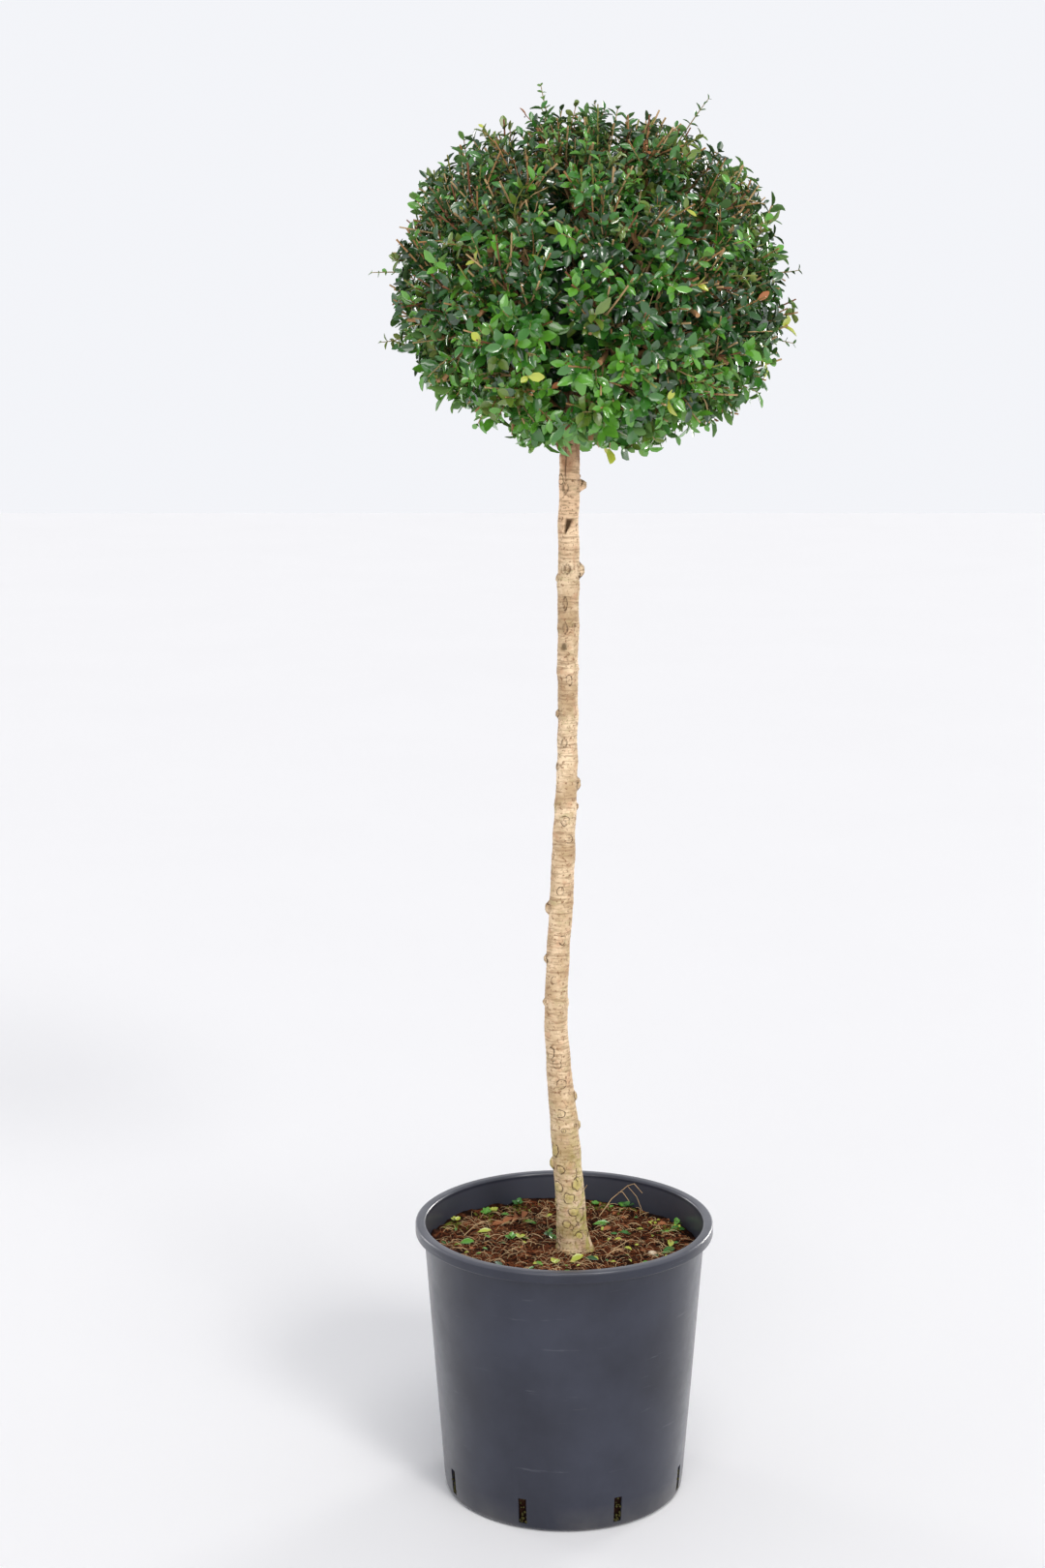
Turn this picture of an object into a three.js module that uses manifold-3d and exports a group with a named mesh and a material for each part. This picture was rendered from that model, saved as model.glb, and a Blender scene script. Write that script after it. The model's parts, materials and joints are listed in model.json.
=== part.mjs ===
// Standard lollipop topiary: a small-leaved evergreen on one bare stem, clipped to a flattened ball and
// standing in a plastic nursery pot of coir compost.
//
// Units are millimetres and +Z is up. The origin is the centre of the pot's flat foot, on the ground.
// +X is to the right and -Y towards the viewer when the plant is seen from the front.
// Limbs are tapering tubes round smooth centre lines, and the clipped foliage is one uneven mass.

import * as THREE from 'three';
import { mergeVertices } from 'three/addons/utils/BufferGeometryUtils.js';
import Module from 'manifold-3d';

const wasm = await Module();
wasm.setup();

// ---------------------------------------------------------------- driving dimensions

const GAP = 0.3;                 // clearance kept between touching solids
const ROUND_SIDES = 52;          // facets round the pot and the compost

const POT = {
  height: 295,
  footRadius: 127.6,
  shoulderRadius: 149,           // outside of the wall where it meets the rim
  rimRadius: 158,
  rimBand: 12,                   // height of the rim's outer face
  rimRound: 2.5,
  wall: 2.2,
  floor: 3,
  footCorner: 5,
};

const SLOT = { count: 8, width: 8.7, height: 28, sill: 7, firstAngle: -65.2 };

const COMPOST = { level: 262, collar: 32, roughness: 3.5, edgeBank: 5 };

const TRUNK = {
  sides: 14,
  steps: 64,
  flare: 5,                      // extra radius of the root flare at ground level
  flareHeight: 17,
  flareSide: 0,                  // the flare is fuller on this side, in degrees from +X
};

// The stem's lean and sweep: height above the ground, then its offset to the right and to the back.
const TRUNK_LINE = [
  [262, 9, 0], [335, 5, 1], [390, 0.5, 2], [450, -6, 2], [520, -9.5, 1], [600, -6.5, -1],
  [680, -2.5, -2], [760, 0.5, -1], [860, 2, 0], [1000, 2, 1], [1100, 3, 0], [1166, 4, 0],
];

// The stem's taper: height above the ground, then diameter.
const TRUNK_TAPER = [[262, 32], [350, 30.6], [500, 25.2], [620, 23.7], [800, 21.2], [1100, 20.2], [1166, 17]];

// Healed stubs of the side shoots that were trimmed off the stem: height, side in degrees and how far each
// stands out.
const KNOTS = [
  [1071, 0, 6], [985, 5, 4], [765, 0, 3.5], [635, 178, 3.5], [430, -5, 3], [400, 8, 2.5], [355, 184, 3],
  [1020, 130, 3], [880, 70, 3], [690, 110, 3], [540, 60, 3],
];
const KNOT_SPREAD = { height: 9, angle: 34 };

const CROWN = {
  centre: new THREE.Vector3(20, 0, 1275),
  halfWidth: 199,
  halfDepth: 197,
  rise: 167,
  drop: 176,
  squareness: 2.1,               // exponent of the superellipsoid; 2 is a plain ellipsoid
  detail: 11,
  lumps: 90,
  lumpHeight: 5,
  lumpSpread: 13,
};

// Where the shears left the ball full or hollow: azimuth, elevation, height and spread, angles in degrees.
const CROWN_LOBES = [
  [180, 48, 10, 20], [180, -16, 8, 14], [0, -30, 6, 18], [180, -62, -16, 20], [0, -8, 4, 14],
  [90, 30, 6, 26], [90, -30, -6, 22], [-90, 18, 3, 24], [-90, -42, 5, 22], [135, 5, -6, 20],
];

// The hollow under the crown, where the stem forks and the boughs spread into the leaves.
const RECESS = { mouthRadius: 62, roofRadius: 30, roofHeight: 1200, mouthHeight: 1085 };

const BOUGHS = {
  count: 6,
  firstAngle: 25,
  lowestFork: 1126,
  forkStep: 6.5,                 // each bough leaves the stem a little above the one before
  turn: 137.5,                   // turn from one bough to the next, in degrees
  baseRadius: 5.2,
  tipRadius: 3.6,
  length: 120,
  slope: 47,                     // angle above the horizontal at the fork, in degrees
  sides: 8,
  steps: 5,
};

// Unclipped shoots that stand out of the ball: name, then the tip.
const SHOOTS = [
  ['shoot_top', -28, -6, 1463],
  ['shoot_top_right', 139, -12, 1449],
  ['shoot_left', -195, -8, 1281],
  ['shoot_lower_left', -187, 10, 1213],
  ['shoot_right', 232, 6, 1284],
  ['shoot_lower_right', 226, -10, 1212],
  ['shoot_front', 48, -213, 1318],
  ['shoot_back', -34, 214, 1338],
];
const SHOOT = { radius: 3.2, tipRadius: 1.1, sides: 7, steps: 5, droop: 4, rootDepth: 40 };

// ---------------------------------------------------------------- helpers

const radians = THREE.MathUtils.degToRad;

/** Small repeatable random number generator (mulberry32). */
function makeRandom(seed) {
  let state = seed;
  return () => {
    state = (state + 0x6d2b79f5) | 0;
    let mixed = Math.imul(state ^ (state >>> 15), 1 | state);
    mixed = (mixed + Math.imul(mixed ^ (mixed >>> 7), 61 | mixed)) ^ mixed;
    return ((mixed ^ (mixed >>> 14)) >>> 0) / 4294967296;
  };
}

/** Unit vector from an azimuth in the ground plane and an elevation above it, in degrees. */
function direction(azimuth, elevation) {
  const flat = Math.cos(radians(elevation));
  return new THREE.Vector3(
    flat * Math.cos(radians(azimuth)), flat * Math.sin(radians(azimuth)), Math.sin(radians(elevation)));
}

/** Smooth bell of height 1 at zero distance. */
function bell(distance, spread) {
  return Math.exp(-((distance / spread) ** 2));
}

/** Shortest turn between two angles, in degrees. */
function turnBetween(first, second) {
  const turn = Math.abs(first - second) % 360;
  return Math.min(turn, 360 - turn);
}

/** Welds a three.js geometry and drops its collapsed triangles, so that it is one closed skin. */
function weld(geometry) {
  const bare = geometry.clone();
  bare.deleteAttribute('normal');
  bare.deleteAttribute('uv');
  const welded = mergeVertices(bare, 1e-3);
  const index = welded.index.array;
  const kept = [];
  for (let i = 0; i < index.length; i += 3) {
    const [a, b, c] = [index[i], index[i + 1], index[i + 2]];
    if (a !== b && b !== c && c !== a) kept.push(a, b, c);
  }
  welded.setIndex(kept);
  return welded;
}

/** Turns a welded skin into a solid that can be joined and cut. */
function toSolid(skin) {
  return new wasm.Manifold(new wasm.Mesh({
    numProp: 3,
    vertProperties: new Float32Array(skin.attributes.position.array),
    triVerts: new Uint32Array(skin.index.array),
  }));
}

function toGeometry(solid) {
  const mesh = solid.getMesh();
  const geometry = new THREE.BufferGeometry();
  geometry.setAttribute('position', new THREE.BufferAttribute(mesh.vertProperties, 3));
  geometry.setIndex(new THREE.BufferAttribute(mesh.triVerts, 1));
  geometry.computeVertexNormals();
  return geometry;
}

/** Lathe round +Z from a closed run of [radius, height] corners and arcs given as a three.js Path. */
function lathe(path, curveDivisions) {
  const outline = path.getPoints(curveDivisions);
  return weld(new THREE.LatheGeometry(outline, ROUND_SIDES).rotateX(Math.PI / 2));
}

/**
 * Round limb along a curve. radiusAt(t, angle) gives its radius at t along the curve, on the side at angle
 * (degrees, 0 towards +X). Its rings lie level on upright limbs and square to the curve on the others.
 */
function limb(curve, radiusAt, sides, steps) {
  const geometry = weld(new THREE.CylinderGeometry(1, 1, 1, sides, steps));
  const place = geometry.attributes.position;
  const upright = new THREE.Vector3(0, 0, 1);
  for (let i = 0; i < place.count; i++) {
    const t = place.getY(i) + 0.5;
    const [side, back] = [place.getX(i), -place.getZ(i)];
    const along = curve.getTangent(t);
    const turn = new THREE.Quaternion().setFromUnitVectors(upright, along);
    const angle = THREE.MathUtils.radToDeg(Math.atan2(back, side));
    const spoke = new THREE.Vector3(side, back, 0).multiplyScalar(radiusAt(t, angle)).applyQuaternion(turn);
    const point = curve.getPoint(t).add(spoke);
    place.setXYZ(i, point.x, point.y, point.z);
  }
  return geometry;
}

function meshOf(name, geometry, colour, roughness) {
  const material = new THREE.MeshStandardMaterial({ color: colour, roughness, metalness: 0 });
  const mesh = new THREE.Mesh(geometry, material);
  mesh.name = name;
  return mesh;
}

// ---------------------------------------------------------------- pot and compost

/** Outside radius of the pot's straight, tapering wall at a height. */
function wallRadius(height) {
  const rise = height / (POT.height - POT.rimBand);
  return POT.footRadius + (POT.shoulderRadius - POT.footRadius) * rise;
}

function potShell() {
  const { height, floor, wall, rimRadius, rimBand, rimRound, footCorner } = POT;
  const bandFoot = height - rimBand;
  const foot = POT.footRadius;
  const inside = (level) => wallRadius(level) - wall;
  const profile = new THREE.Path();
  profile.moveTo(0, 0);
  profile.lineTo(foot - footCorner, 0);
  profile.quadraticCurveTo(foot, 0, wallRadius(footCorner), footCorner);
  profile.lineTo(wallRadius(bandFoot - 2), bandFoot - 2);
  profile.lineTo(rimRadius - 1, bandFoot);
  profile.lineTo(rimRadius, bandFoot + 1.5);
  profile.lineTo(rimRadius, height - rimRound);
  profile.absarc(rimRadius - rimRound, height - rimRound, rimRound, 0, Math.PI / 2);
  profile.lineTo(inside(bandFoot) + rimRound, height);
  profile.quadraticCurveTo(inside(bandFoot), height, inside(bandFoot), height - rimRound);
  profile.lineTo(inside(bandFoot), bandFoot);
  profile.lineTo(inside(floor), floor);
  profile.lineTo(0, floor);
  return lathe(profile, 3);
}

function drainSlot(angle) {
  const depth = 16;
  const slot = new THREE.BoxGeometry(depth, SLOT.width, SLOT.height);
  slot.translate(POT.footRadius, 0, SLOT.sill + SLOT.height / 2);
  return weld(slot.rotateZ(radians(angle)));
}

function pot() {
  let shell = toSolid(potShell());
  for (let i = 0; i < SLOT.count; i++) {
    const angle = SLOT.firstAngle + i * 360 / SLOT.count;
    shell = shell.subtract(toSolid(drainSlot(angle)));
  }
  return toGeometry(shell);
}

/** Rough top of the compost: flat round the stem, lumpy further out, banked up a little at the wall. */
function compostRise(x, y, wallDistance) {
  const fromStem = Math.hypot(x - TRUNK_LINE[0][1], y);
  const open = THREE.MathUtils.smoothstep(fromStem, COMPOST.collar, COMPOST.collar + 25);
  const broad = Math.sin(x / 17 + 1) * Math.cos(y / 13);
  const fine = 0.6 * Math.sin((x + y) / 9) * Math.cos((x - y) / 11);
  const bank = COMPOST.edgeBank * bell(wallDistance, 14) * (x < 0 ? 1 : 0.3);
  return open * (COMPOST.roughness * (broad + fine) / 1.6 + bank);
}

function compost() {
  const bottom = POT.floor + GAP;
  const edgeAt = (level) => wallRadius(level) - POT.wall - GAP;
  const rings = 8;
  const outline = [new THREE.Vector2(0, bottom), new THREE.Vector2(edgeAt(bottom), bottom)];
  for (let i = rings; i >= 0; i--) {
    outline.push(new THREE.Vector2(edgeAt(COMPOST.level) * i / rings, COMPOST.level));
  }
  const geometry = weld(new THREE.LatheGeometry(outline, ROUND_SIDES).rotateX(Math.PI / 2));
  const place = geometry.attributes.position;
  for (let i = 0; i < place.count; i++) {
    if (place.getZ(i) < COMPOST.level - 1) continue;
    const [x, y] = [place.getX(i), place.getY(i)];
    const wallDistance = edgeAt(COMPOST.level) - Math.hypot(x, y);
    const rise = wallDistance < 1 ? 0 : compostRise(x, y, wallDistance);
    place.setZ(i, COMPOST.level + rise);
  }
  return geometry;
}

// ---------------------------------------------------------------- stem and boughs

const trunkCurve = new THREE.CatmullRomCurve3(
  TRUNK_LINE.map(([height, right, back]) => new THREE.Vector3(right, back, height)));
const stemTop = trunkCurve.getPoint(1);
const trunkTaper = new THREE.SplineCurve(
  TRUNK_TAPER.map(([height, diameter]) => new THREE.Vector2(height, diameter)));

/** Stem radius at a height, from the taper's stations. */
function taperRadius(height) {
  const stations = TRUNK_TAPER.length - 1;
  let station = 0;
  while (station < stations - 1 && TRUNK_TAPER[station + 1][0] < height) station++;
  const [low, high] = [TRUNK_TAPER[station][0], TRUNK_TAPER[station + 1][0]];
  const t = (station + (height - low) / (high - low)) / stations;
  return trunkTaper.getPoint(THREE.MathUtils.clamp(t, 0, 1)).y / 2;
}

function trunkRadius(height, angle) {
  const above = height - COMPOST.level;
  const oneSided = 0.5 * Math.cos(radians(angle - TRUNK.flareSide));
  const threeToed = 0.25 * Math.cos(radians(3 * angle + 40));
  const flare = TRUNK.flare * (1 + oneSided + threeToed) * Math.exp(-above / TRUNK.flareHeight);
  let knots = 0;
  for (const [level, side, size] of KNOTS) {
    const across = bell(turnBetween(angle, side), KNOT_SPREAD.angle);
    knots += size * bell(height - level, KNOT_SPREAD.height) * across;
  }
  return taperRadius(height) + flare + knots;
}

/** Stem solid, from its flat cut on the compost up to the fork, made thicker all over by extra. */
function trunk(extra = 0) {
  const radiusAt = (t, angle) => trunkRadius(trunkCurve.getPoint(t).z, angle) + extra;
  const stem = toSolid(limb(trunkCurve, radiusAt, TRUNK.sides, TRUNK.steps));
  const ground = COMPOST.level + GAP - extra;
  const below = new THREE.BoxGeometry(200, 200, 100).translate(0, 0, ground - 50);
  return stem.subtract(toSolid(weld(below)));
}

/** Tapering limb that leaves the stem at a height and bows out and up into the leaves. */
function boughTube(number, extra) {
  const forkHeight = BOUGHS.lowestFork + number * BOUGHS.forkStep;
  const azimuth = BOUGHS.firstAngle + number * BOUGHS.turn;
  const start = stemTop.clone().setZ(forkHeight);
  const knee = start.clone().addScaledVector(direction(azimuth, BOUGHS.slope), BOUGHS.length / 2);
  const tip = knee.clone().addScaledVector(direction(azimuth, BOUGHS.slope - 14), BOUGHS.length / 2);
  const curve = new THREE.QuadraticBezierCurve3(start, knee, tip);
  const radiusAt = (s) => THREE.MathUtils.lerp(BOUGHS.baseRadius, BOUGHS.tipRadius, s) + extra;
  return toSolid(limb(curve, radiusAt, BOUGHS.sides, BOUGHS.steps));
}

/** Space under the crown, made smaller all round by inset. */
function recess(inset = 0) {
  const profile = new THREE.Path();
  profile.moveTo(0, RECESS.mouthHeight);
  profile.lineTo(RECESS.mouthRadius - inset, RECESS.mouthHeight);
  profile.lineTo(RECESS.mouthRadius - inset, RECESS.mouthHeight + 22);
  profile.quadraticCurveTo(
    RECESS.mouthRadius - 6 - inset, RECESS.roofHeight - 12 - inset,
    RECESS.roofRadius, RECESS.roofHeight - inset);
  profile.lineTo(0, RECESS.roofHeight + 4 - inset);
  return toSolid(lathe(profile, 3).translate(stemTop.x, 0, 0));
}

/** Boughs cut clear of the stem and of each other, each ending where it enters the leaves. */
function boughs() {
  let taken = trunk(GAP);
  const room = recess(GAP);
  const limbs = [];
  for (let number = 0; number < BOUGHS.count; number++) {
    limbs.push(boughTube(number, 0).subtract(taken).intersect(room));
    taken = taken.add(boughTube(number, GAP));
  }
  return limbs;
}

// ---------------------------------------------------------------- clipped foliage

/** Small seeded lumps spread evenly over the ball, as [direction, height]. */
function crownLumps() {
  const random = makeRandom(7);
  const golden = Math.PI * (3 - Math.sqrt(5));
  return Array.from({ length: CROWN.lumps }, (_, i) => {
    const z = 1 - 2 * (i + 0.5) / CROWN.lumps;
    const flat = Math.sqrt(1 - z * z);
    const towards = new THREE.Vector3(flat * Math.cos(i * golden), flat * Math.sin(i * golden), z);
    return [towards, CROWN.lumpHeight * (2 * random() - 1)];
  });
}

const lumpsOnCrown = crownLumps();
const lobesOnCrown = CROWN_LOBES.map(([azimuth, elevation, height, spread]) => (
  [direction(azimuth, elevation), height, spread]));

/** Distance from the crown's centre to its clipped surface, in a given direction. */
function crownRadius(towards) {
  const power = CROWN.squareness;
  const upDown = towards.z > 0 ? CROWN.rise : CROWN.drop;
  const flat = Math.hypot(towards.x / CROWN.halfWidth, towards.y / CROWN.halfDepth);
  const ball = (flat ** power + Math.abs(towards.z / upDown) ** power) ** (-1 / power);
  const angleTo = (other) => THREE.MathUtils.radToDeg(towards.angleTo(other));
  let uneven = 0;
  for (const [towardsLump, height] of lumpsOnCrown) {
    uneven += height * bell(angleTo(towardsLump), CROWN.lumpSpread);
  }
  for (const [towardsLobe, height, spread] of lobesOnCrown) {
    uneven += height * bell(angleTo(towardsLobe), spread);
  }
  return ball + uneven;
}

function crownBall(extra = 0) {
  const geometry = weld(new THREE.IcosahedronGeometry(1, CROWN.detail));
  const place = geometry.attributes.position;
  for (let i = 0; i < place.count; i++) {
    const towards = new THREE.Vector3().fromBufferAttribute(place, i).normalize();
    const point = CROWN.centre.clone().addScaledVector(towards, crownRadius(towards) + extra);
    place.setXYZ(i, point.x, point.y, point.z);
  }
  return toSolid(geometry);
}

/** Slim leafy shoot from just outside the clipped surface to its tip. */
function shoot(tip, ball) {
  const inward = CROWN.centre.clone().sub(tip).normalize();
  const towards = inward.clone().negate();
  const surface = CROWN.centre.clone().addScaledVector(towards, crownRadius(towards));
  const root = surface.clone().addScaledVector(inward, SHOOT.rootDepth);
  const middle = root.clone().lerp(tip, 0.55).add(new THREE.Vector3(0, 0, SHOOT.droop));
  const curve = new THREE.QuadraticBezierCurve3(root, middle, tip);
  const radiusAt = (t) => THREE.MathUtils.lerp(SHOOT.radius, SHOOT.tipRadius, t ** 3);
  return toSolid(limb(curve, radiusAt, SHOOT.sides, SHOOT.steps)).subtract(ball);
}

// ---------------------------------------------------------------- the plant in its pot

const topiary = new THREE.Group();

topiary.add(meshOf('pot', pot(), 0x484c5a, 0.45));
topiary.add(meshOf('soil', compost(), 0x5a3220, 0.95));
topiary.add(meshOf('trunk', toGeometry(trunk()), 0xd0b08a, 0.8));

boughs().forEach((bough, number) => {
  topiary.add(meshOf(`bough_${number + 1}`, toGeometry(bough), 0x9a6a44, 0.8));
});

topiary.add(meshOf('crown', toGeometry(crownBall().subtract(recess())), 0x2f5a24, 0.5));

const clearOfCrown = crownBall(GAP);
for (const [name, ...tip] of SHOOTS) {
  const leafyShoot = shoot(new THREE.Vector3(...tip), clearOfCrown);
  topiary.add(meshOf(name, toGeometry(leafyShoot), 0x6f7a34, 0.6));
}

export default topiary;
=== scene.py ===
import json
import logging
import math
from dataclasses import dataclass, field, fields
from enum import Enum
from typing import Any, Iterable, Sequence

import bpy
import numpy as np
from mathutils import Matrix, Vector, noise
from mathutils.bvhtree import BVHTree

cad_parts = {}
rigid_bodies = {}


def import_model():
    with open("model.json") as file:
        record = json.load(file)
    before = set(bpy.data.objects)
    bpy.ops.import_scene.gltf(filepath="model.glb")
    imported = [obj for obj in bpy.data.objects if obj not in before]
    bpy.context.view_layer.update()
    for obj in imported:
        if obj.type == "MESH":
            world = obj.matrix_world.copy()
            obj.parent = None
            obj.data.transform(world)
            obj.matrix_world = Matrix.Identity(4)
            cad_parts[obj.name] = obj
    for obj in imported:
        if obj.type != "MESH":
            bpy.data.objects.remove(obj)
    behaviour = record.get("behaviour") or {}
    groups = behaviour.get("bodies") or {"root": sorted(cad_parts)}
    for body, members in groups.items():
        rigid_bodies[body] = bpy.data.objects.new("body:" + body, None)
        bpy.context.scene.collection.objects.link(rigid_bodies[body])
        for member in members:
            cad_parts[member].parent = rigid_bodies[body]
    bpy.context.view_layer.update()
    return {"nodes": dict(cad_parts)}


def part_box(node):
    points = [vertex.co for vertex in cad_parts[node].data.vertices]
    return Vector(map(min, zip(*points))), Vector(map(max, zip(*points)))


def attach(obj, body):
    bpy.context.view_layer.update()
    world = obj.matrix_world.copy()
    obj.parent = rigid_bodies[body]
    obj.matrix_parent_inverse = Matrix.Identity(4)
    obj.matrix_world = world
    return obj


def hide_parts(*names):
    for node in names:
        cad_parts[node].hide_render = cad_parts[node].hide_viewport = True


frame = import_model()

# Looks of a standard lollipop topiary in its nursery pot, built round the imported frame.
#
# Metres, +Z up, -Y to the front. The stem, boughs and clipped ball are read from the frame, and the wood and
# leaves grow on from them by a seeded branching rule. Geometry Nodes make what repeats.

LOG = logging.getLogger("topiary")
BODY = "root"
UP = np.array([0.0, 0.0, 1.0])
MM = 0.001
FULL_TURN = 2 * math.pi
Array = np.ndarray
Colour = tuple[float, float, float]
Thing = bpy.types.Object
Material = bpy.types.Material
Socket = bpy.types.NodeSocket
Outline = list[tuple[float, float]]


# --- small maths


def unit(vectors: Array) -> Array:
    """Vectors scaled to length one, along the last axis."""
    return vectors / np.maximum(np.linalg.norm(vectors, axis=-1, keepdims=True), 1e-12)


def smooth_step(low: float, high: float, value: Array) -> Array:
    """Smooth rise from 0 at low to 1 at high."""
    t = np.clip((value - low) / (high - low), 0.0, 1.0)
    return t * t * (3.0 - 2.0 * t)


def bump_of(value: Array, middle: Array | float, width: float) -> Array:
    """Bell-shaped bump of height 1 at the middle."""
    return np.exp(-((value - middle) / width) ** 2)


def bezier(start: Array, middle: Array, end: Array, count: int) -> Array:
    """Points along a quadratic curve that bends towards its middle point."""
    t = np.linspace(0.0, 1.0, count)[:, None]
    return (1 - t) ** 2 * start + 2 * t * (1 - t) * middle + t ** 2 * end


def fibonacci_sphere(count: int) -> Array:
    """Unit directions spread evenly over a sphere.

    Args:
        count: How many directions.

    Returns:
        One direction per row.
    """
    index = np.arange(count)
    z = 1.0 - 2.0 * (index + 0.5) / count
    turn = index * math.pi * (3.0 - math.sqrt(5.0))
    flat = np.sqrt(1.0 - z * z)
    return np.stack([flat * np.cos(turn), flat * np.sin(turn), z], axis=1)


def euler_of(forward: Array, normal: Array) -> Array:
    """XYZ Euler angles that turn +X to forward and +Z to normal.

    Args:
        forward: Unit directions, one per row.
        normal: Unit directions square to forward, one per row.

    Returns:
        One row of three angles for each input row.
    """
    side = np.cross(normal, forward)
    roll = np.arctan2(side[:, 2], normal[:, 2])
    pitch = -np.arcsin(np.clip(forward[:, 2], -1.0, 1.0))
    yaw = np.arctan2(forward[:, 1], forward[:, 0])
    return np.stack([roll, pitch, yaw], axis=1)


def clump_noise(points: Array, scale: float, seed: float) -> Array:
    """Smooth noise between about -1 and 1 at each point, with features of the given size in metres."""
    shift = Vector((seed, -seed * 0.7, seed * 1.3))
    return np.array([noise.noise(Vector(p) / scale + shift) for p in points])


def turns_round(count: int) -> Array:
    """Angles of so many even steps round a ring."""
    return np.linspace(0, FULL_TURN, count, endpoint=False)


def ring_points(reach: Array, turns: Array, height: Array) -> Array:
    """Points round the Z axis, each at its reach, turn and height."""
    return np.stack(np.broadcast_arrays(reach * np.cos(turns), reach * np.sin(turns), height), axis=-1)


def lengths_along(path: Array) -> Array:
    """Distance from a path's start to each of its points."""
    return np.concatenate([[0.0], np.cumsum(np.linalg.norm(np.diff(path, axis=0), axis=1))])


# --- mesh helpers


def node_points(name: str) -> Array:
    """Vertices of one of the frame's nodes, one per row."""
    return np.array([v.co for v in frame["nodes"][name].data.vertices])


def nodes_named(start: str) -> list[str]:
    """Names of the frame's nodes that start with a word."""
    return [name for name in frame["nodes"] if name.startswith(start)]


def mesh_object(name: str, vertices: Array, faces: Sequence, edges: Sequence = ()) -> Thing:
    """A new smooth mesh object at the origin, linked to the scene.

    Args:
        name: Object and mesh name.
        vertices: Points in the frame, in metres.
        faces: Vertex indices of each face.
        edges: Vertex indices of each loose edge.

    Returns:
        The Blender object.
    """
    mesh = bpy.data.meshes.new(name)
    mesh.from_pydata(np.asarray(vertices).tolist(), list(edges), list(faces), shade_flat=False)
    mesh.update()
    thing = bpy.data.objects.new(name, mesh)
    bpy.context.scene.collection.objects.link(thing)
    return thing


def closed_tube(name: str, rings: Sequence[Array], foot: Sequence[float], top: Sequence[float]) -> Thing:
    """A closed mesh through rings of points, with a fan of triangles at each end.

    Args:
        name: Object and mesh name.
        rings: Rings of equally many points, turning left, from foot to top.
        foot: Point that closes the first ring.
        top: Point that closes the last ring.

    Returns:
        The Blender object; its last two vertices are foot and top.
    """
    columns = len(rings[0])
    foot_at = len(rings) * columns
    last = foot_at - columns
    sides = [(column, (column + 1) % columns) for column in range(columns)]
    faces: list = []
    for low in range(0, last, columns):
        high = low + columns
        faces += [(low + left, low + right, high + right, high + left) for left, right in sides]
    for left, right in sides:
        faces.append((right, left, foot_at))
        faces.append((last + left, last + right, foot_at + 1))
    return mesh_object(name, np.concatenate([*rings, [foot, top]]), faces)


def write_attribute(thing: Thing, name: str, kind: str, values: Array) -> None:
    """Stores one value per vertex under a name.

    Args:
        thing: The object whose mesh takes the attribute.
        name: The attribute's name.
        kind: FLOAT, INT or FLOAT_VECTOR.
        values: One value or row for each vertex.
    """
    key = "vector" if kind == "FLOAT_VECTOR" else "value"
    plain = np.int32 if kind == "INT" else np.float32
    attribute = thing.data.attributes.new(name, kind, "POINT")
    attribute.data.foreach_set(key, np.ascontiguousarray(values, dtype=plain).ravel())


def finish_piece(thing: Thing, slot: str, nodes: Iterable[str] = ()) -> None:
    """Rides a finished piece on the plant's one body and reports it.

    Args:
        thing: The piece.
        slot: The material slot of the record that it wears; not used.
        nodes: Frame nodes that it stands for.
    """
    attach(thing, BODY)
    names = tuple(nodes)
    if names:
        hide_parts(*names)
    LOG.info("%s: %d faces", thing.name, len(thing.data.polygons))


class NodeNet:
    """A node tree under construction."""

    prefix = "ShaderNode"
    tree: Any

    def add(self, kind: str, inputs: dict[Any, Any] | None = None, **settings: Any) -> Any:
        """Adds a node.

        Args:
            kind: Node type, without this tree's prefix.
            inputs: Input name, or number where names repeat, to a value or a socket.
            settings: Properties of the node itself.

        Returns:
            The new node.
        """
        full = kind if kind.startswith(("FunctionNode", "ShaderNode")) else self.prefix + kind
        node = self.tree.nodes.new(full)
        for key, value in settings.items():
            setattr(node, key, value)
        shown = [s for s in node.inputs if s.enabled]
        for key, value in (inputs or {}).items():
            socket = shown[key] if isinstance(key, int) else next(s for s in shown if s.name == key)
            if isinstance(value, Socket):
                self.tree.links.new(value, socket)
            elif socket.type == "RGBA":
                socket.default_value = (*value, 1.0)
            else:
                socket.default_value = value
        return node

    def get(self, kind: str, inputs: dict[Any, Any] | None = None, **settings: Any) -> Socket:
        """Adds a node and returns the first output that it shows."""
        return next(s for s in self.add(kind, inputs, **settings).outputs if s.enabled)

    def maths(self, operation: str, *values: Any) -> Socket:
        """Result of a sum on numbers or on the sockets that give them."""
        return self.get("ShaderNodeMath", dict(enumerate(values)), operation=operation)

    def vectors(self, operation: str, *values: Any) -> Socket:
        """Result of a sum on vectors or on the sockets that give them."""
        return self.get("ShaderNodeVectorMath", dict(enumerate(values)), operation=operation)

    def rise(self, where: Socket) -> Socket:
        """Z of a vector."""
        return self.add("ShaderNodeSeparateXYZ", {"Vector": where}).outputs["Z"]

    def reach(self, where: Socket) -> Socket:
        """Distance of a vector from the Z axis."""
        return self.vectors("LENGTH", self.vectors("MULTIPLY", where, (1.0, 1.0, 0.0)))

    def ramp(self, factor: Socket, *stops: tuple[float, Colour]) -> Socket:
        """Colour ramp over a factor.

        Args:
            factor: The factor.
            stops: Position and colour of each stop.

        Returns:
            The colour.
        """
        node = self.add("ValToRGB", {"Fac": factor})
        elements = node.color_ramp.elements
        while len(elements) < len(stops):
            elements.new(0.5)
        for element, (position, colour) in zip(elements, stops):
            element.position = position
            element.color = (*colour, 1.0)
        return node.outputs["Color"]


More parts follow.
